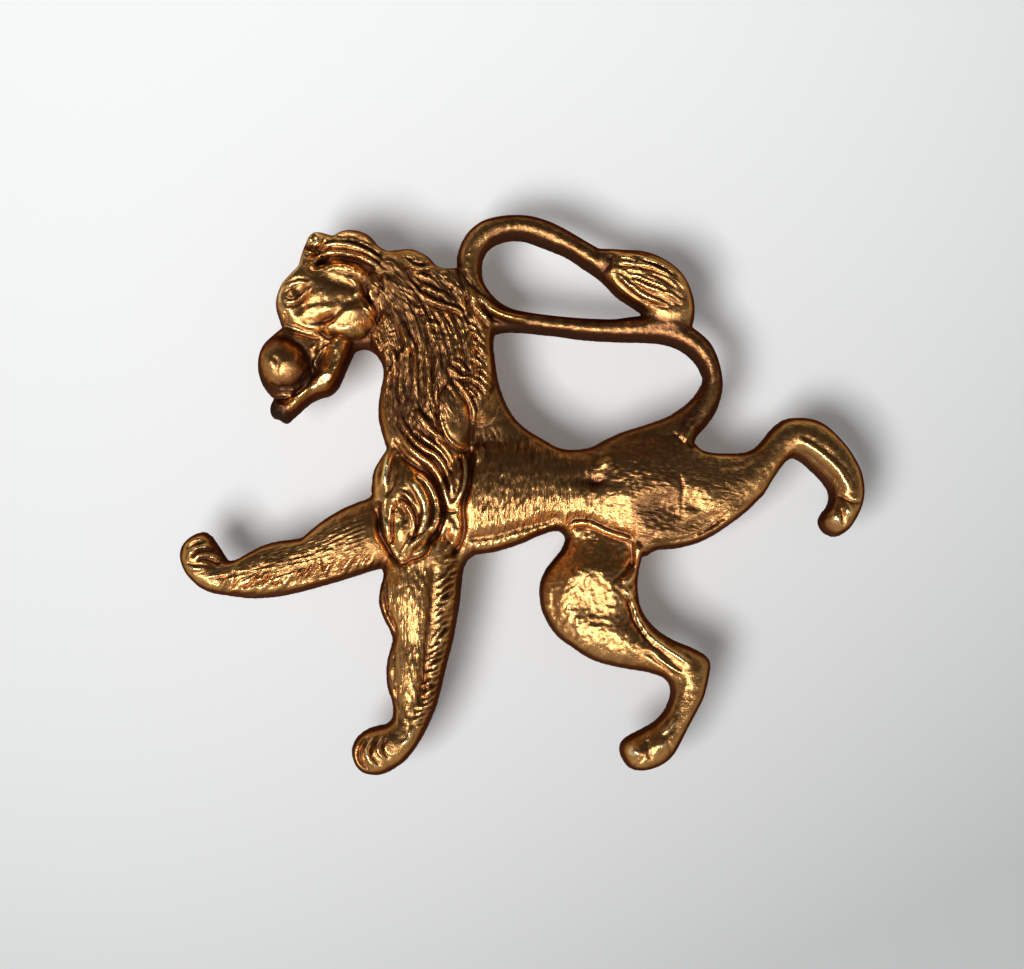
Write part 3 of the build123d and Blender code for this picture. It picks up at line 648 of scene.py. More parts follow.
ridge([(-8.0, 4.95), (-7.6, 4.2), (-7.1, 3.4), (-6.4, 2.8), (-5.6, 2.35), (-5.0, 1.6), (-4.65, .7),
       (-4.55, -.3)], .19, .42, .7)
ridge([(-7.9, 3.9), (-7.4, 3.0), (-6.7, 2.35), (-6.0, 1.8), (-5.4, 1.0), (-5.05, .2), (-4.8, -.7)],
      .2, .46, .7)
ridge([(-7.8, 3.2), (-7.2, 2.5), (-6.5, 1.95), (-5.9, 1.3), (-5.45, .6), (-5.1, -.2), (-4.8, -.95)],
      .12, .3, .7)
ridge([(-6.9, 4.1), (-6.4, 3.5), (-5.8, 3.1), (-5.2, 2.6), (-4.75, 1.9), (-4.5, 1.1), (-4.45, .2)],
      .15, .34, .7)
ridge([(-5.9, 3.7), (-5.4, 3.2), (-4.9, 2.7), (-4.5, 2.0), (-4.3, 1.1), (-4.35, .2)], .14, .3, .7)
ridge([(-3.95, 2.7), (-3.7, 1.8), (-3.7, .8), (-3.95, .0), (-4.35, -.8)], .2, .44, .7)
ridge([(-4.3, 2.4), (-4.1, 1.5), (-4.1, .6), (-4.35, -.3)], .14, .34, .7)
groove([(-8.4, 3.4), (-7.6, 2.2), (-6.8, 1.6), (-6.0, .9), (-5.4, -.1), (-5.15, -1.1), (-5.3, -2.2),
        (-5.9, -3.4)], .22, .5, .1)
groove([(-3.35, 3.0), (-3.25, 1.6), (-3.5, .2), (-3.85, -1.0), (-3.75, -2.2), (-4.0, -3.2),
        (-4.6, -4.1)], .17, .5, .06)
swell(-4.75, -2.35, .5, 1.2, 28, .34, 4)
ridge([(-4.7, -1.4), (-5.0, -2.0), (-5.25, -2.8), (-5.5, -3.7)], .14, .2)
ridge([(-4.3, -1.45), (-4.1, -2.1), (-4.4, -3.0), (-5.0, -3.8)], .14, .2)
groove([(-4.62, -1.45), (-4.65, -2.1), (-4.85, -2.7)], .07, .24)
groove([(-4.95, -1.2), (-4.6, -1.25), (-4.2, -1.2)], .08, .25)

# Shoulder whorl and the leaf in front of it.
ridge([(-8.55, 2.8), (-8.75, 1.95), (-8.9, 1.15), (-9.05, .35)], .3, .4)
groove([(-8.1, 2.5), (-8.15, 1.4), (-8.4, .4), (-8.75, -.3)], .16, .3)
groove([(-7.8, 2.4), (-7.65, 1.4), (-7.85, .5)], .16, .14)
swell(-6.9, .4, .9, 1.1, 30, .16, 3)
ridge([(-6.7, 1.35), (-6.1, .7), (-5.65, -.1), (-5.45, -1.0), (-5.6, -1.9), (-6.1, -2.7), (-6.9, -3.4),
       (-7.6, -3.95)], .3, .36, .6, .12)
ridge([(-7.3, .9), (-6.7, .2), (-6.3, -.7), (-6.2, -1.5), (-6.4, -2.3), (-6.9, -3.0), (-7.6, -3.6)],
      .34, .32, .5, .15)
groove([(-6.1, .3), (-5.95, -.6), (-6.0, -1.4)], .06, .12)
groove([(-8.05, -.35), (-7.4, -.6), (-7.0, -1.1), (-6.8, -1.8), (-6.85, -2.6), (-7.2, -3.1)],
       .13, .42, .1)
ridge([(-7.95, .05), (-7.45, -.2), (-7.15, -.6), (-7.0, -.9)], .14, .34)
ridge([(-7.95, -.65), (-7.5, -.95), (-7.15, -1.5), (-7.0, -2.2), (-7.15, -2.9)], .12, .3)
groove([(-7.95, -.85), (-7.6, -1.4), (-7.55, -2.0)], .16, .25)
ridge([(-8.35, -.6), (-8.55, -1.2), (-8.6, -1.8)], .1, .26)
groove([(-8.15, -.5), (-8.4, -1.3), (-8.45, -2.2), (-8.45, -2.9), (-8.6, -3.4)], .12, .4, .1)
ridge([(-8.15, -.9), (-8.25, -1.5), (-8.2, -2.1)], .09, .2)
swell(-7.9, -2.75, .42, .62, 8, .2, 3)
swell(-8.9, -2.4, .3, .7, 8, .24, 3)
groove([(-8.75, -.4), (-8.85, -1.2), (-8.75, -1.9)], .08, .18)
groove([(-9.3, -.6), (-9.35, -1.5), (-9.35, -2.4), (-9.1, -3.1), (-8.7, -3.6), (-8.3, -4.2),
        (-7.9, -4.6)], .2, .45, .08)
ridge([(-8.6, -3.2), (-8.4, -3.8), (-8.05, -4.25), (-7.8, -4.45)], .14, .3)
ridge([(-7.4, -3.2), (-7.7, -3.7), (-7.8, -4.1)], .12, .28)
groove([(-7.9, -4.75), (-7.2, -4.35), (-6.4, -4.0), (-6.0, -3.2), (-5.85, -2.4)], .16, .4, .08)
groove([(-7.1, -3.75), (-6.5, -3.3), (-6.1, -2.8)], .06, .2)

# Standing foreleg: round muscle, cut fringe down the back, toes.
swell(-7.3, -7.2, 1.0, 2.4, 3, .16, 3)
groove([(-5.75, -4.6), (-5.85, -6.2), (-5.95, -7.8), (-6.1, -9.4), (-6.3, -11.0), (-6.5, -12.6),
        (-6.6, -13.8)], .3, .34, .06)
groove([(-8.75, -5.4), (-8.85, -6.6), (-8.75, -7.6), (-8.3, -8.7), (-8.05, -9.4)], .14, .3)
ridge([(-9.1, -5.6), (-9.2, -6.6), (-9.0, -7.6), (-8.6, -8.5), (-8.35, -9.2)], .17, .24)
hem = [(-4.65, -4.3), (-4.85, -6.0), (-5.05, -8.0), (-5.3, -10.0), (-5.65, -11.8), (-6.0, -13.2),
       (-6.4, -14.6), (-6.7, -15.2)]
fringe(hem, .2, -50, -.3, .3, .085, .24, 41)
fringe(hem, .33, -42, -.35, .1, .14, .2, 42)
fringe(hem, .24, -60, .1, .45, .08, .2, 43)
groove([(-4.2, -5.0), (-4.35, -7.0), (-4.6, -9.0), (-5.0, -11.2), (-5.5, -13.2), (-6.1, -15.0)],
       .08, .2, .05)
ridge([(-8.4, -12.5), (-8.35, -13.4), (-8.1, -14.2)], .12, .12)
groove([(-8.2, -9.9), (-8.3, -11.2), (-8.2, -12.6), (-7.9, -14.0)], .12, .16)
swell(-7.3, -11.8, .6, 1.5, 0, .1, 3)
for k, (x, y, r) in enumerate([(-8.7, -16.5, 1.0), (-9.25, -16.75, 1.3), (-9.85, -16.9, 1.6)]):
    arc = [(x - r * .3, y + r * .6), (x - r * .6, y + r * .1), (x - r * .52, y - r * .4),
           (x - r * .15, y - r * .75)]
    ridge(arc, .17, .32)
    groove([(px + .26, py + .05) for px, py in arc], .09, .24)
ridge([(-7.2, -15.2), (-7.3, -15.8), (-7.7, -16.4)], .2, .18)

# Reaching foreleg: combed hair above, cut fringe below, toes in the hook.
for k in range(7):
    ridge([(-10.05, -1.45 - .3 * k), (-11.0, -1.75 - .32 * k), (-12.0, -2.2 - .33 * k),
           (-13.1, -2.75 - .33 * k)], .1, .1, .7)
for k in range(3):
    ridge([(-13.0, -3.5 - .35 * k), (-14.2, -3.9 - .35 * k), (-15.4, -4.15 - .3 * k)], .1, .12, .5)
hem = [(-9.9, -4.5), (-12.0, -4.95), (-14.0, -5.45), (-16.0, -5.8), (-18.0, -5.9), (-19.6, -5.8)]
fringe(hem, .19, 38, -.5, .1, .085, .22, 44)
fringe(hem, .3, 30, -.2, .5, .11, .17, 45)
fringe(hem, .3, 24, .3, .9, .09, .12, 46)
groove([(-10.2, -5.0), (-12.0, -5.5), (-14.0, -6.0), (-16.0, -6.4), (-18.0, -6.5), (-20.0, -6.2)],
       .07, .14, .05)
groove([(-19.6, -4.7), (-20.2, -4.5), (-20.7, -4.3), (-21.2, -4.45)], .1, .24)
ridge([(-19.7, -4.4), (-20.3, -4.1), (-20.9, -4.05), (-21.3, -4.3)], .14, .28)
ridge([(-20.2, -3.55), (-20.7, -3.45), (-21.2, -3.6), (-21.5, -3.8)], .14, .28)
groove([(-20.1, -3.8), (-20.8, -3.75), (-21.5, -4.05)], .08, .22)
ridge([(-20.9, -2.95), (-21.4, -3.05), (-21.7, -3.3)], .14, .2)
groove([(-20.6, -3.2), (-21.3, -3.3), (-21.9, -3.7)], .07, .18)
ridge([(-20.6, -4.9), (-21.2, -4.95), (-21.7, -4.8)], .16, .22)
groove([(-20.3, -4.75), (-21.1, -4.7), (-21.9, -4.5)], .07, .18)
ridge([(-19.0, -5.2), (-19.8, -5.35), (-20.5, -5.5)], .16, .16)

# Body: flank hollow, ribs, haunch crease, belly ledge.
swell(4.7, .7, .9, .5, -8, -.24, 2)
swell(4.2, .9, 1.6, .45, 8, -.14, 2)
swell(4.75, .62, .34, .2, 10, -.16, 2)
swell(5.4, 1.95, .42, .26, 30, .26, 3)
swell(6.3, -.2, .8, .5, -20, .12, 3)
groove([(10.15, 1.6), (10.22, 1.1), (10.36, .5), (10.42, -.1), (10.32, -.6), (10.44, -1.05),
        (10.2, -1.7)], .09, .17, .3)
groove([(10.3, .9), (10.4, .1), (10.4, -.9)], .26, .12, .3)
swell(8.1, .5, 2.0, 2.4, 0, .34, 3)
facet(11.45, -.5, .95, .8, 0, .12, .36, 3.1)
facet(9.0, -1.5, 1.7, 1.35, 0, -.16, -.06, 3.05)
facet(11.6, -2.1, 1.6, .6, 22, -.1, .02, 2.55)
groove([(8.2, -3.3), (10.0, -3.1), (11.2, -2.75), (12.4, -2.1), (13.4, -1.3)], .1, .24)
ridge([(8.3, -3.55), (10.0, -3.38), (11.2, -3.08), (12.4, -2.5), (13.5, -1.75)], .1, .2)
groove([(-3.6, -2.95), (-2.5, -2.85), (-1.0, -2.55), (0.0, -2.2), (1.0, -2.0), (1.8, -1.75),
        (2.4, -1.45)], .3, .3, .05)
fringe([(-3.4, -3.4), (-2.0, -3.25), (-1.0, -3.05), (0.0, -2.7), (1.2, -2.35), (2.2, -2.1)],
       .17, 52, -.25, .2, .08, .17, 47)
groove([(12.6, 1.6), (13.6, 1.7), (14.8, 2.1), (15.8, 2.9)], .2, .12)
ridge([(10.6, 3.2), (10.9, 3.9), (11.4, 4.7)], .18, .16)
groove([(9.9, 4.0), (10.3, 3.5), (10.9, 3.15), (11.5, 3.2)], .12, .2)

# Thigh, hock and hind paws.
ridge([(3.0, -2.35), (3.5, -2.0), (4.4, -2.05), (5.4, -2.5), (6.4, -2.85), (7.1, -3.0)], .2, .3, .5, .1)
groove([(2.9, -1.75), (3.6, -1.5), (4.5, -1.65), (5.4, -2.05), (6.4, -2.5), (7.4, -2.9)], .2, .16, .08)
swell(3.15, -2.35, .3, .3, 0, .22, 3)
groove([(7.2, -3.1), (7.15, -4.3), (6.7, -5.1), (5.75, -5.9)], .07, .24, .04)
groove([(5.75, -5.9), (6.4, -6.6), (6.9, -7.35), (7.15, -8.2), (7.65, -9.05), (8.4, -9.9), (9.2, -10.5),
        (10.4, -11.5)], .07, .24, .03)
ridge([(7.72, -3.4), (7.62, -4.6), (7.2, -5.4), (6.5, -5.95)], .34, .34, .3, .1)
ridge([(6.45, -6.0), (6.92, -6.5), (7.32, -7.3), (7.57, -8.1), (8.07, -8.9), (8.75, -9.6), (9.8, -10.35),
       (11.0, -11.2)], .24, .28, .3, .1)
ridge([(8.6, -10.6), (9.6, -11.3), (10.4, -11.75)], .13, .24)
groove([(8.0, -10.3), (9.2, -11.2), (10.0, -11.9)], .09, .2)
swell(6.0, -5.4, 1.5, 2.3, 12, .36, 2)
facet(4.5, -6.5, 1.5, 1.9, 14, .16, .3, 3.0)
swell(6.9, -9.6, 1.2, .7, -38, .16, 3)
facet(7.55, -4.2, .32, 1.0, 8, .14, .3, 2.8)
ridge([(9.1, -15.6), (9.6, -15.2), (10.0, -14.6)], .2, .2)
swell(9.0, -16.35, .4, .32, 30, .26, 3)
swell(7.25, -16.75, .42, .32, 0, .3, 3)
groove([(8.1, -16.0), (8.15, -16.6), (8.3, -17.3)], .14, .2)
groove([(7.9, -17.1), (7.6, -17.5), (7.2, -17.7)], .08, .16)
groove([(9.3, -16.0), (9.6, -16.6), (9.5, -17.2)], .09, .14)
ridge([(18.0, 3.35), (18.9, 2.95), (19.8, 2.25), (20.6, 1.5), (21.1, .7), (21.4, 0.0)], .34, .24, .2, .15)
groove([(20.6, -.05), (21.2, -.45), (21.7, -.65), (22.2, -.6)], .09, .34)
swell(21.25, -1.15, .3, .42, 35, .3, 3)
swell(20.4, -1.55, .32, .4, 20, .28, 3)
groove([(20.9, -1.0), (20.85, -1.6), (21.0, -2.2)], .09, .2)

# Tuft of the tail: flame-like hairs that sweep down to the bar.
upper_hair = [(5.9, 15.7), (7.2, 15.7), (8.6, 15.35), (9.9, 14.6), (10.7, 13.6)]
lower_hair = [(6.2, 14.3), (7.0, 13.5), (8.0, 12.8), (9.2, 12.3), (10.4, 11.9)]
between(upper_hair, lower_hair, 9, .17, .34, .7, .1, 11)
between(upper_hair, lower_hair, 18, .05, .1, .6, .1, 12, cut=True)
groove([(5.2, 14.5), (5.7, 15.0), (5.8, 15.7)], .2, .25)
swell(4.6, 15.35, .4, .3, 30, .1, 3)

# Short hair over ribs, neck, haunch and legs, and the grain of the thigh.
inside = edge > 0.3
rib_area = inside & (X > -3.3) & (X < 4.5) & (Y < 4.0) & (Y > -2.4)
ribs = unit((X + 3.5) / .4) * unit((6.5 - X) / 4)
ribs *= unit((4.5 - Y) / .8) * unit((Y + 2.6) / .3)
rib_lines = X - .14 * Y
rib_hair = streaks(Y / .8 + 30, rib_lines / .2 + 60, 51)
rib_hair = rib_hair + .5 * streaks(Y / .5 + 30, rib_lines / .11 + 90, 52)
relief += ribs * .11 * (rib_hair - .75)
strokes(rib_area, lambda x, y: 1.35 + .1 * y, 200, 1.1, .08, .09, 21)
haunch_area = inside & (X > 4.0) & (X < 14.5) & (Y < 3.6) & (Y > -3.4)
strokes(haunch_area, lambda x, y: .9 - .12 * x, 420, .4, .07, .05, 22)
relief += soften(haunch_area.astype(float), 30) * .07 * cloud(34, 1)
leg_area = inside & (X > -9.0) & (X < -6.0) & (Y < -4.6) & (Y > -15.0)
strokes(leg_area, lambda x, y: 1.5, 420, .7, .08, .06, 23)
arm_area = inside & (X > -20.0) & (X < -10.0) & (Y < -2.6) & (Y > -6.4)
strokes(arm_area, lambda x, y: .35, 300, .6, .08, .06, 24)
neck_area = inside & (X > -9.3) & (X < -3.9) & (Y > 4.0) & (Y < 14.0)
strokes(neck_area, lambda x, y: 1.75 + .12 * (y - 8), 160, 1.2, .08, .07, 25)
thigh_area = unit((mass(thigh_line, .55) - hind) / .3)
thigh_area *= unit((-Y - 1.6) / .6) * unit(10.8 + Y)
relief += thigh_area * (.08 * cloud(31, 1) + .05 * cloud(35, 3))
hair_pitch = .17
lay(Y, rib_lines / hair_pitch, .9 * soften(ribs, 4) * unit((5.3 - X) / 1.5))
lay(Y, X / hair_pitch, .5 * soften(leg_area.astype(float), 12))
lay(X, (Y - .3 * X) / hair_pitch, .6 * soften(arm_area.astype(float), 12))
haunch_share = soften(haunch_area.astype(float), 12) * unit((X - 5.5) / 1.5)
lay(X, (Y + .2 * X) / .16, .3 * haunch_share)
relief += .045 * cloud(32, 1) * unit(edge / .4) * (1 - .85 * comb_depth)
relief += .05 * cloud(33, 8)

# The edge rolls off to the clipped rim.
roll = unit((edge - flare) / roll_width)
relief = rim + (np.maximum(relief, rim) - rim) * (1 - (1 - roll) ** 2)
relief = np.minimum(relief, crest)

# Surface from the grid: one corner in each cell that the front touches, and
# on the outline itself in the cells that it crosses.
clipped = edge - flare
kept = clipped > 0
cell_in = kept[:-1, :-1].astype(int) + kept[1:, :-1] + kept[:-1, 1:] + kept[1:, 1:]
used = cell_in > 0
cx = (xs[:-1] + xs[1:])[None, :] / 2 + np.zeros(used.shape)
cy = (ys[:-1] + ys[1:])[:, None] / 2 + np.zeros(used.shape)
mixed = used & (cell_in < 4)
total = np.zeros(used.shape)
px, py = np.zeros(used.shape), np.zeros(used.shape)
for (ra, ca), (rb, cb) in [((0, 0), (0, 1)), ((1, 0), (1, 1)), ((0, 0), (1, 0)), ((0, 1), (1, 1))]:
    rows, cols = used.shape
    fa = clipped[ra:ra + rows, ca:ca + cols]
    fb = clipped[rb:rb + rows, cb:cb + cols]
    crossed = (fa > 0) != (fb > 0)
    t = np.where(crossed, fa / np.where(crossed, fa - fb, 1), 0)
    px += np.where(crossed, xs[None, :-1] + (ca + t * (cb - ca)) * grain, 0)
    py += np.where(crossed, ys[:-1, None] + (ra + t * (rb - ra)) * grain, 0)
    total += crossed
cx = np.where(mixed, px / np.maximum(total, 1), cx)
cy = np.where(mixed, py / np.maximum(total, 1), cy)


def sample(field, x, y):
    """A field's value between its grid points."""
    u, v = (x - xs[0]) / grain, (y - ys[0]) / grain
    i = np.clip(u.astype(int), 0, len(xs) - 2)
    j = np.clip(v.astype(int), 0, len(ys) - 2)
    u, v = u - i, v - j
    return ((field[j, i] * (1 - u) + field[j, i + 1] * u) * (1 - v)
            + (field[j + 1, i] * (1 - u) + field[j + 1, i + 1] * u) * v)


number = -np.ones(used.shape, int)
number[used] = np.arange(used.sum())
top = np.stack([cx[used], cy[used], sample(relief, cx[used], cy[used])], 1)
top[mixed[used], 2] = rim
rows, cols = np.nonzero(kept[1:-1, 1:-1])
rows, cols = rows + 1, cols + 1
corners = [(-1, -1), (-1, 0), (0, 0), (0, -1)]
faces = np.stack([number[rows + down, cols + left] for down, left in corners], 1)
faces = faces[(faces >= 0).all(1)]

# Ordered border loops of that surface.
follow = {}
pairs = np.concatenate([faces[:, [k, (k + 1) % 4]] for k in range(4)])
have = set(map(tuple, pairs.tolist()))
for a, b in have:
    if (b, a) not in have:
        follow.setdefault(a, []).append(b)
borders = []
while follow:
    start = next(iter(follow))
    loop, here = [start], start
    while True:
        options = follow[here]
        nxt = options.pop()
        if not options:
            del follow[here]
        if nxt == start:
            break
        loop.append(nxt)
        here = nxt
    borders.append(loop)
borders = [loop for loop in borders if len(loop) > shortest_border]

# The sheared wall: a small rolled edge, then drag marks down to the back.
slope_y, slope_x = np.gradient(soften(edge, 2), grain)
wall_rows = [(.015, rim - .05), (.03, rim - .2), (.045, rim - .42), (.06, rim - .66), (.08, rim - .9),
             (.1, .12), (.085, .03), (.04, .0)]
verts = [tuple(p) for p in top]
polygons = [tuple(f) for f in faces.tolist()]
rng = np.random.RandomState(5)
base_loops = []
for loop in borders:
    ring = top[loop]
    for _ in range(2):
        ring[:, :2] = (np.roll(ring, 1, 0)[:, :2] + np.roll(ring, -1, 0)[:, :2] + 2 * ring[:, :2]) / 4
    for k, index in enumerate(loop):
        verts[index] = tuple(ring[k])
    nx, ny = [-sample(slope, ring[:, 0], ring[:, 1]) for slope in (slope_x, slope_y)]
    size = np.maximum(np.hypot(nx, ny), 1e-6)
    nx, ny = nx / size, ny / size
    drag = rng.rand(len(loop)) - .5
    drag = (drag + np.roll(drag, 1)) * .02
    last = list(loop)
    for out, z in wall_rows:
        depth = unit((rim - .1 - z) / .4) * (1 if z > .1 else 0)
        reach = out + drag * depth
        new = list(range(len(verts), len(verts) + len(loop)))
        for k in range(len(loop)):
            verts.append((ring[k, 0] + nx[k] * reach[k], ring[k, 1] + ny[k] * reach[k], z))
        for k in range(len(loop)):
            m = (k + 1) % len(loop)
            polygons.append((last[m], last[k], new[k], new[m]))
        last = new
    base_loops.append(last)

# The flat back, pierced by the four shallow dimples of the lug feet.
first_back = len(polygons)
brazes = ("front_braze_lower", "front_braze_upper", "rear_braze_lower", "rear_braze_upper")
lug_boxes = [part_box(name) for name in brazes]
dimples = [((low.x + high.x) / (2 * mm), (low.y + high.y) / (2 * mm), (high.x - low.x) / (2 * mm))
           for low, high in lug_boxes]
flat, rims, counter = [], [], 0
index_of = []
for loop in base_loops:
    flat += [Vector(verts[v][:2]) for v in loop]
    index_of += loop
    rims.append([counter + k for k in range(len(loop))])
    counter += len(loop)
dimple_depth = max(high.z for low, high in lug_boxes) / mm
for x, y, r in dimples:
    mouth = []
    for k in range(dimple_sides):
        a = k * math.tau / dimple_sides
        verts.append((x + r * math.cos(a), y + r * math.sin(a), 0.0))
        mouth.append(len(verts) - 1)
        flat.append(Vector(verts[-1][:2]))
        index_of.append(len(verts) - 1)
    rims.append([counter + k for k in range(dimple_sides)])
    counter += dimple_sides
    deep = []
    for v in mouth:
        verts.append((verts[v][0], verts[v][1], dimple_depth))
        deep.append(len(verts) - 1)
    for k in range(dimple_sides):
        m = (k + 1) % dimple_sides
        polygons.append((mouth[k], mouth[m], deep[m], deep[k]))
    polygons.append(tuple(deep))
edges = [(a, b) for rim_loop in rims for a, b in zip(rim_loop, rim_loop[1:] + rim_loop[:1])]
placed, _, tris, origin, _, _ = delaunay_2d_cdt(flat, edges, [], 0, 1e-6)
for tri in tris:
    centre = sum((placed[v] for v in tri), Vector((0, 0))) / 3
    if sample(edge, np.array([centre.x]), np.array([centre.y]))[0] < 0:
        continue
    if any((centre.x - x) ** 2 + (centre.y - y) ** 2 < r ** 2 * .98 for x, y, r in dimples):
        continue
    polygons.append(tuple(index_of[origin[v][0]] for v in reversed(tri)))

struck = bpy.data.meshes.new("struck_lion")
struck.from_pydata([(x * mm, y * mm, z * mm) for x, y, z in verts], [], polygons)
struck.update()
for polygon in struck.polygons:
    polygon.use_smooth = polygon.index < first_back
lion = bpy.data.objects.new("struck_lion", struck)
bpy.context.collection.objects.link(lion)

# Tone of the gilding, with painted light in it: 1 on polished high spots, which also carry
# painted highlight, 0 in the toned recesses, which also carry painted shade, and below 0 on the
# sheared wall, which is darkened partly by painted shade.
fine = relief - soften(relief, 12)
broad = relief - soften(relief, 90)
# Painted shade along the outline: the tone falls below 0 toward the rim, over a width that varies.
clear_of_rim_shade = unit((edge - .1) / (.5 + .25 * cloud(36, 6))) ** .7
mane_zone = np.exp(-((X + 6.2) / 3.2) ** 4 - ((Y - 9.0) / 4.8) ** 4)
# Relief above its surroundings is lighter and hollows darker: toning and polish, and partly painted shade
# and highlight. The mane is painted darker overall, with more contrast between locks and hollows.
polish_and_shade = .45 + fine * 3.8 + broad * .3 + mane_zone * (fine * 4.0 - .34)
tone_field = np.clip(polish_and_shade, -.1, 1) * clear_of_rim_shade - .3 * (1 - clear_of_rim_shade)
# Painted shade round the rim of the muzzle ball, which leaves a painted highlight on its middle.
ball = np.hypot(X + 15.65, Y - 8.45)
tone_field -= .75 * unit((ball - .75) / .8) * unit((2.0 - ball) / .2)
# Painted shade at the tip of the chin.
tone_field -= 1.6 * np.exp(-(((X + 16.1) ** 2 + (Y - 5.2) ** 2) / .62) ** 2)
# Painted shade: darker patches in the flank hollow, under the nose, over and under the haunch and along
# the back.
shaded_places = [
    (4.75, .65, .85, .45, .9, 2),       # flank hollow
    (-15.9, 9.6, 1.265, 1.265, .4, 2),  # under the nose
    (8.8, -.6, 1.7, 2.4, .6, 4),        # haunch
    (10.5, -2.6, 3.4, 1.0, .5, 4),      # under the haunch
    (5.0, 3.2, 7.0, 1.6, .4, 4),        # along the back
]
for x, y, across, along, share, sharp in shaded_places:
    tone_field *= 1 - share * np.exp(-((X - x) / across) ** sharp - ((Y - y) / along) ** 2)
# Painted shade over the upper mane and neck.
tone_field *= 1 - .25 * unit((Y - 2.0) / 2) * np.exp(-((X + 6.5) / 3.5) ** 4)
tone_field *= .55 + .45 * calm
# Painted shade over the tail.
tail_zone = unit((mass(tail_line, .85) - rim) / .3)
tail_zone *= unit((Y - 3.5) / 1.5) * unit(X + 2.6)
tone_field -= .38 * tail_zone
# Painted shade along the upper side of the reaching foreleg.
tone_field *= 1 - .45 * np.exp(-((X + 16.6) / 3.2) ** 4 - ((Y + .25 * (X + 16.6) + 4.0) / .75) ** 2)
tone = struck.attributes.new("tone", "FLOAT", "POINT")
values = np.full(len(verts), wall_tone)
values[:len(top)] = sample(tone_field, top[:, 0], top[:, 1])
values[index_of] = back_tone
tone.data.foreach_set("value", values.astype(np.float32))
comb = struck.attributes.new("comb", "FLOAT_VECTOR", "POINT")
values = np.zeros((len(verts), 3))
for k, field in enumerate((comb_run, comb_across, comb_depth * unit((edge - .3) / .5))):
    values[:len(top), k] = sample(field, top[:, 0], top[:, 1])
comb.data.foreach_set("vector", values.astype(np.float32).ravel())


class Signal:
    """One output of a node, with arithmetic that adds Math nodes."""

    def __init__(self, tree, socket):
        self.tree = tree
        self.socket = socket

    def node(self, kind, settings=None, out=0, **inputs):
        node = self.tree.nodes.new(kind)
        for name, value in (settings or {}).items():
            setattr(node, name, value)
        for name, value in inputs.items():
            key = int(name[1:]) if name[0] == "_" else name.replace("_", " ")
            if isinstance(value, Signal):
                self.tree.links.new(value.socket, node.inputs[key])
            else:
                node.inputs[key].default_value = value
        return Signal(self.tree, node.outputs[out])

    def maths(self, operation, other, flip=False):
        first, second = (other, self) if flip else (self, other)
        return self.node("ShaderNodeMath", {"operation": operation}, _0=first, _1=second)

    def __add__(self, other):
        return self.maths("ADD", other)

    __radd__ = __add__

    def __sub__(self, other):
        return self.maths("SUBTRACT", other)

    def __rsub__(self, other):
        return self.maths("SUBTRACT", other, True)

    def __mul__(self, other):
        return self.maths("MULTIPLY", other)

    def clamp(self, low=0.0, high=1.0):
        return self.node("ShaderNodeClamp", Value=self, Min=low, Max=high)

    def colour(self, low, high):
        """This signal as a blend of two colours."""
        tree = self.tree
        node = tree.nodes.new("ShaderNodeMix")
        node.data_type = "RGBA"
        tree.links.new(self.socket, node.inputs[0])
        for place, value in ((6, low), (7, high)):
            if isinstance(value, Signal):
                tree.links.new(value.socket, node.inputs[place])
            else:
                node.inputs[place].default_value = (*value, 1)
        return Signal(tree, node.outputs[2])


def new_finish(name, metallic=1.0):
    """A fresh material: its surface shader and a source of signals."""
    material = bpy.data.materials.new(name)
    material.use_nodes = True
    tree = material.node_tree
    shader = tree.nodes["Principled BSDF"]
    shader.inputs["Metallic"].default_value = metallic
    start = Signal(tree, tree.nodes.new("ShaderNodeTexCoord").outputs["Object"])
    return material, shader, start


def feed(shader, name, signal):
    """Plugs a signal into one socket of the surface shader."""
    signal.tree.links.new(signal.socket, shader.inputs[name])


def noise(place, scale, detail, roughness=0.5):
    """Cloudy unevenness of one size."""
    return place.node("ShaderNodeTexNoise", Vector=place, Scale=scale, Detail=detail, Roughness=roughness)


def roughen(shader, height, strength, distance):
    """The finest relief of a finish."""
    bump = height.node("ShaderNodeBump", Strength=strength, Distance=distance, Height=height)
    feed(shader, "Normal", bump)


def wear(finish, *names):
    """Gives pieces of the frame a finish through their slots."""
    for name in names:
        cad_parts[name].material_slots[0].material = finish


gilt, shader, place = new_finish("old_gilt")
tone = place.node("ShaderNodeAttribute", {"attribute_name": "tone"}, out=2)
patch = noise(place, 260.0, 4.0, 0.6)
speck = noise(place, 2600.0, 3.0, 0.7)
grit = noise(place, 9000.0, 2.0)
# The tone attribute and random patches mix dark toned gilt into bright gilt, so this mix carries painted
# shade as well as wear.
wear_and_shade = (tone + (patch - 0.5) * 0.3 + (speck - 0.5) * 0.3).clamp()
toned_and_shaded = wear_and_shade.colour((0.16, 0.062, 0.030), (0.95, 0.50, 0.17))
# The near-black wall colour is partly painted shade.
sheared_and_shaded = (tone * -1.0).clamp().colour(toned_and_shaded, (0.045, 0.029, 0.018))
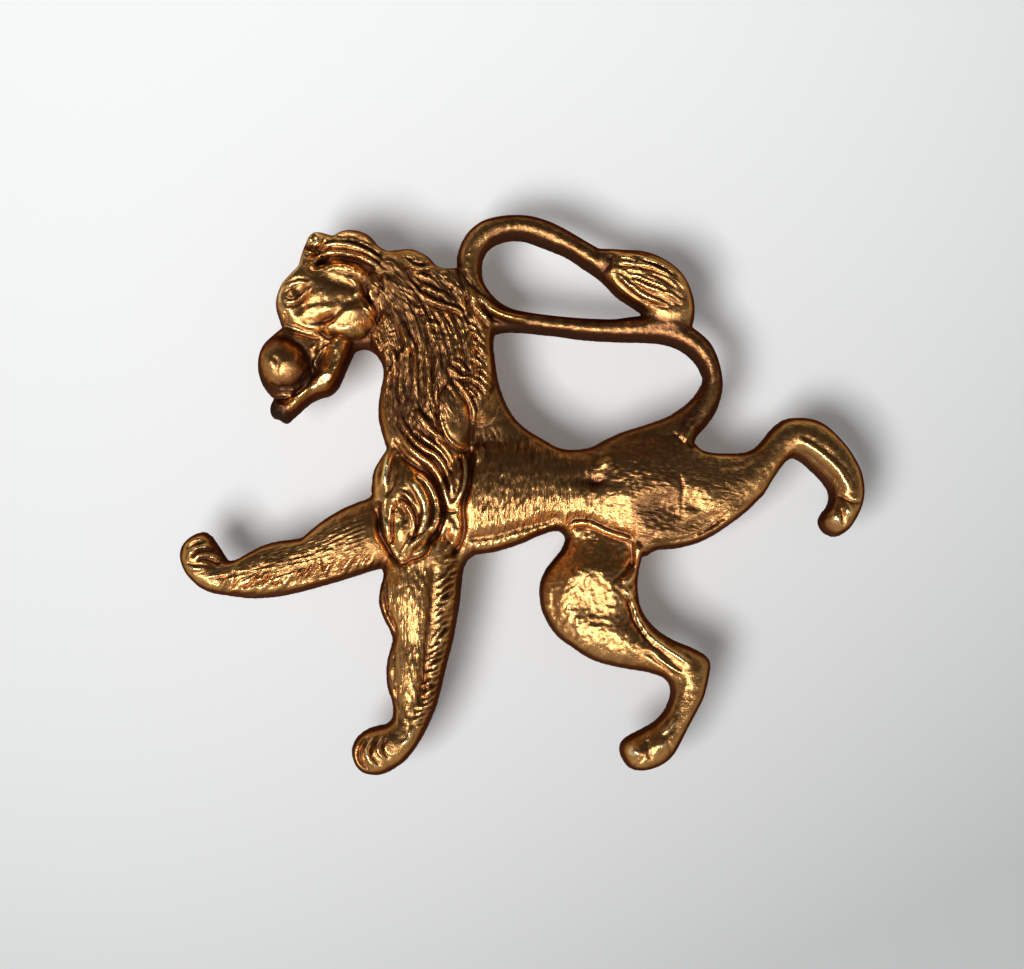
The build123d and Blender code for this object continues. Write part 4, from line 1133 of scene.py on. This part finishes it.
# Rubbed high spots, in a pale colour that also paints the highlights.
rubbed_and_highlight = ((tone - 0.7) * 3.0 + (speck - 0.5) * 1.5).clamp()
feed(shader, "Base Color", (rubbed_and_highlight * 0.95).colour(sheared_and_shaded, (1.0, 0.80, 0.42)))
rough = 0.42 - wear_and_shade * 0.20 + (speck - 0.5) * 0.16 + (tone * -0.35).clamp()
feed(shader, "Roughness", rough.clamp(0.14, 0.75))
shader.inputs["Specular Tint"].default_value = (0.24, 0.15, 0.10, 1)
along = place.node("ShaderNodeAttribute", {"attribute_name": "comb"}, out=1)
hairs = along.node("ShaderNodeTexNoise", {"noise_dimensions": "2D"}, Vector=along, Scale=1.0, Detail=2.0,
                   Roughness=0.6)
depth = Signal(place.tree, along.node("ShaderNodeSeparateXYZ", Vector=along).socket.node.outputs["Z"])
bumps = speck * (0.45 - depth * 0.4) + grit * (0.5 - depth * 0.3) + (hairs - 0.5) * depth * 2.6
roughen(shader, bumps, 0.85, 0.00007)
struck.materials.append(gilt)

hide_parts("lion_badge")
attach(lion, "badge")

# ---------------------------------------------------------------------------
# Lugs: loops of drawn brass wire whose feet stand in dimples in the back and
# are held by hard solder. The solder is a paler brass, a little rough, and
# stained where the flux ran.
# ---------------------------------------------------------------------------

wire, shader, place = new_finish("drawn_brass_wire")
patch = noise(place, 420.0, 4.0)
draw = place.node("ShaderNodeTexWave", {"bands_direction": "DIAGONAL"}, Vector=place, Scale=1500.0,
                  Distortion=3.0)
dull = (patch * 1.3 - 0.15).clamp()
feed(shader, "Base Color", dull.colour((0.42, 0.24, 0.075), (0.80, 0.55, 0.22)))
feed(shader, "Roughness", (0.46 - dull * 0.16 + draw * 0.06).clamp(0.2, 0.7))
roughen(shader, draw + patch, 0.25, 0.00004)
wear(wire, "front_lug", "rear_lug")

solder, shader, place = new_finish("hard_solder")
lump = noise(place, 1800.0, 5.0, 0.65)
stain = noise(place, 700.0, 2.0)
feed(shader, "Base Color", (stain * 1.4 - 0.2).clamp().colour((0.30, 0.17, 0.07), (0.78, 0.60, 0.33)))
feed(shader, "Roughness", (0.34 + lump * 0.3).clamp())
roughen(shader, lump, 0.6, 0.0001)
wear(solder, *brazes)

# ---------------------------------------------------------------------------
# Backing plate: rolled brass sheet, blanked with two slots for the lugs. It
# bears on the inside of the cap and is brushed along its length.
# ---------------------------------------------------------------------------

sheet, shader, place = new_finish("rolled_brass_sheet")
stretched = place.node("ShaderNodeMapping", Vector=place, Scale=(60.0, 2600.0, 2600.0))
brush = noise(stretched, 1.0, 4.0)
patch = noise(place, 240.0, 5.0)
dull = (patch * 1.5 - 0.3 + (brush - 0.5) * 0.3).clamp()
feed(shader, "Base Color", dull.colour((0.50, 0.31, 0.11), (0.84, 0.62, 0.28)))
feed(shader, "Roughness", (0.30 + brush * 0.18 + (1 - dull) * 0.1).clamp())
roughen(shader, brush, 0.25, 0.00004)
wear(sheet, "backing_plate")

# ---------------------------------------------------------------------------
# Split pin: half round brass wire bent double into an eye. Its legs are
# scratched along their length by the lugs.
# ---------------------------------------------------------------------------

pin_wire, shader, place = new_finish("half_round_brass_wire")
stretched = place.node("ShaderNodeMapping", Vector=place, Scale=(120.0, 3000.0, 3000.0))
scratch = noise(stretched, 1.0, 4.0)
patch = noise(place, 300.0, 4.0)
bright = (patch + (scratch - 0.5) * 0.5).clamp()
feed(shader, "Base Color", bright.colour((0.55, 0.36, 0.13), (0.90, 0.70, 0.34)))
feed(shader, "Roughness", (0.40 - bright * 0.16).clamp())
roughen(shader, scratch, 0.3, 0.00004)
wear(pin_wire, "split_pin")

# ---------------------------------------------------------------------------
# Pale card under the badge, soft lamps low in front of it, and the camera.
# ---------------------------------------------------------------------------

floor_z = min(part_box("front_lug")[0].z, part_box("rear_lug")[0].z)
card = bpy.data.meshes.new("pale_card")
half_card = 0.6
card_corners = [(x * half_card, y * half_card, floor_z) for x, y in ((-1, -1), (1, -1), (1, 1), (-1, 1))]
card.from_pydata(card_corners, [], [(0, 1, 2, 3)])
floor = bpy.data.objects.new("pale_card", card)
bpy.context.collection.objects.link(floor)
paper, shader, place = new_finish("pale_card", 0.0)
axes = place.node("ShaderNodeSeparateXYZ", Vector=place)
across = Signal(place.tree, axes.socket.node.outputs["X"])
upward = Signal(place.tree, axes.socket.node.outputs["Y"])
# Painted light on the card: lighter toward the top left and the middle, darker toward the bottom right
# and the corners. The card also glows faintly in the same colour.
shade = (0.52 + across * 2.4 - upward * 11.0 + (across * across + upward * upward) * 70.0).clamp()
painted_light_tint = shade.colour((0.93, 0.94, 0.945), (0.42, 0.425, 0.43))
feed(shader, "Base Color", painted_light_tint)
feed(shader, "Emission Color", painted_light_tint)
shader.inputs["Emission Strength"].default_value = 0.14
shader.inputs["Roughness"].default_value = 0.5
card.materials.append(paper)


def lamp(name, place, width, height, power):
    """A soft rectangular lamp that faces the badge."""
    data = bpy.data.lights.new(name, "AREA")
    data.shape = "RECTANGLE"
    data.size = width
    data.size_y = height
    data.energy = power
    lamp_object = bpy.data.objects.new(name, data)
    lamp_object.location = place
    lamp_object.rotation_euler = (-Vector(place)).to_track_quat("-Z", "Y").to_euler()
    bpy.context.collection.objects.link(lamp_object)
    return lamp_object


over_card = [lamp("card_softbox", (-0.105, -0.10, 0.36), 0.13, 0.12, 1.42),
             lamp("card_fill", (0.05, -0.02, 0.45), 0.26, 0.26, 0.09)]
over_badge = [lamp("left_strip", (-0.20, -0.15, 0.31), 0.09, 0.07, 0.85),
              lamp("front_strip", (-0.05, -0.26, 0.28), 0.12, 0.07, 0.75),
              lamp("right_strip", (0.20, -0.26, 0.22), 0.06, 0.05, 0.2)]
shielded = bpy.data.collections.new("card_only")
shielded.objects.link(floor)
for light in over_card:
    light.light_linking.receiver_collection = shielded
screened = bpy.data.collections.new("all_but_card")
screened.objects.link(floor)
for light in over_badge:
    light.light_linking.receiver_collection = screened
screened.collection_objects[0].light_linking.link_state = "EXCLUDE"

world = bpy.data.worlds.new("studio")
world.use_nodes = True
bpy.context.scene.world = world
tree = world.node_tree
sky = Signal(tree, tree.nodes.new("ShaderNodeTexCoord").outputs["Generated"])
parts = sky.node("ShaderNodeSeparateXYZ", Vector=sky)
forward = Signal(tree, parts.socket.node.outputs["Y"])
level = (0.14 - forward * 0.20).clamp(0.05, 1.0)
tree.links.new(level.socket, tree.nodes["Background"].inputs["Strength"])
tree.nodes["Background"].inputs["Color"].default_value = (1.0, 0.99, 0.97, 1)

camera = bpy.data.cameras.new("camera")
camera.lens = 85
camera.sensor_width = 36
camera.clip_start = 0.005
camera_object = bpy.data.objects.new("camera", camera)
bpy.context.collection.objects.link(camera_object)
bpy.context.scene.camera = camera_object
aim = Vector((-0.00066, 0.00060, 0.0015))
lift = math.radians(87)
away = 0.1585
camera_object.location = aim + Vector((0, -math.cos(lift), math.sin(lift))) * away
camera_object.rotation_euler = (aim - camera_object.location).to_track_quat("-Z", "Y").to_euler()
bpy.context.scene.view_settings.view_transform = "Standard"
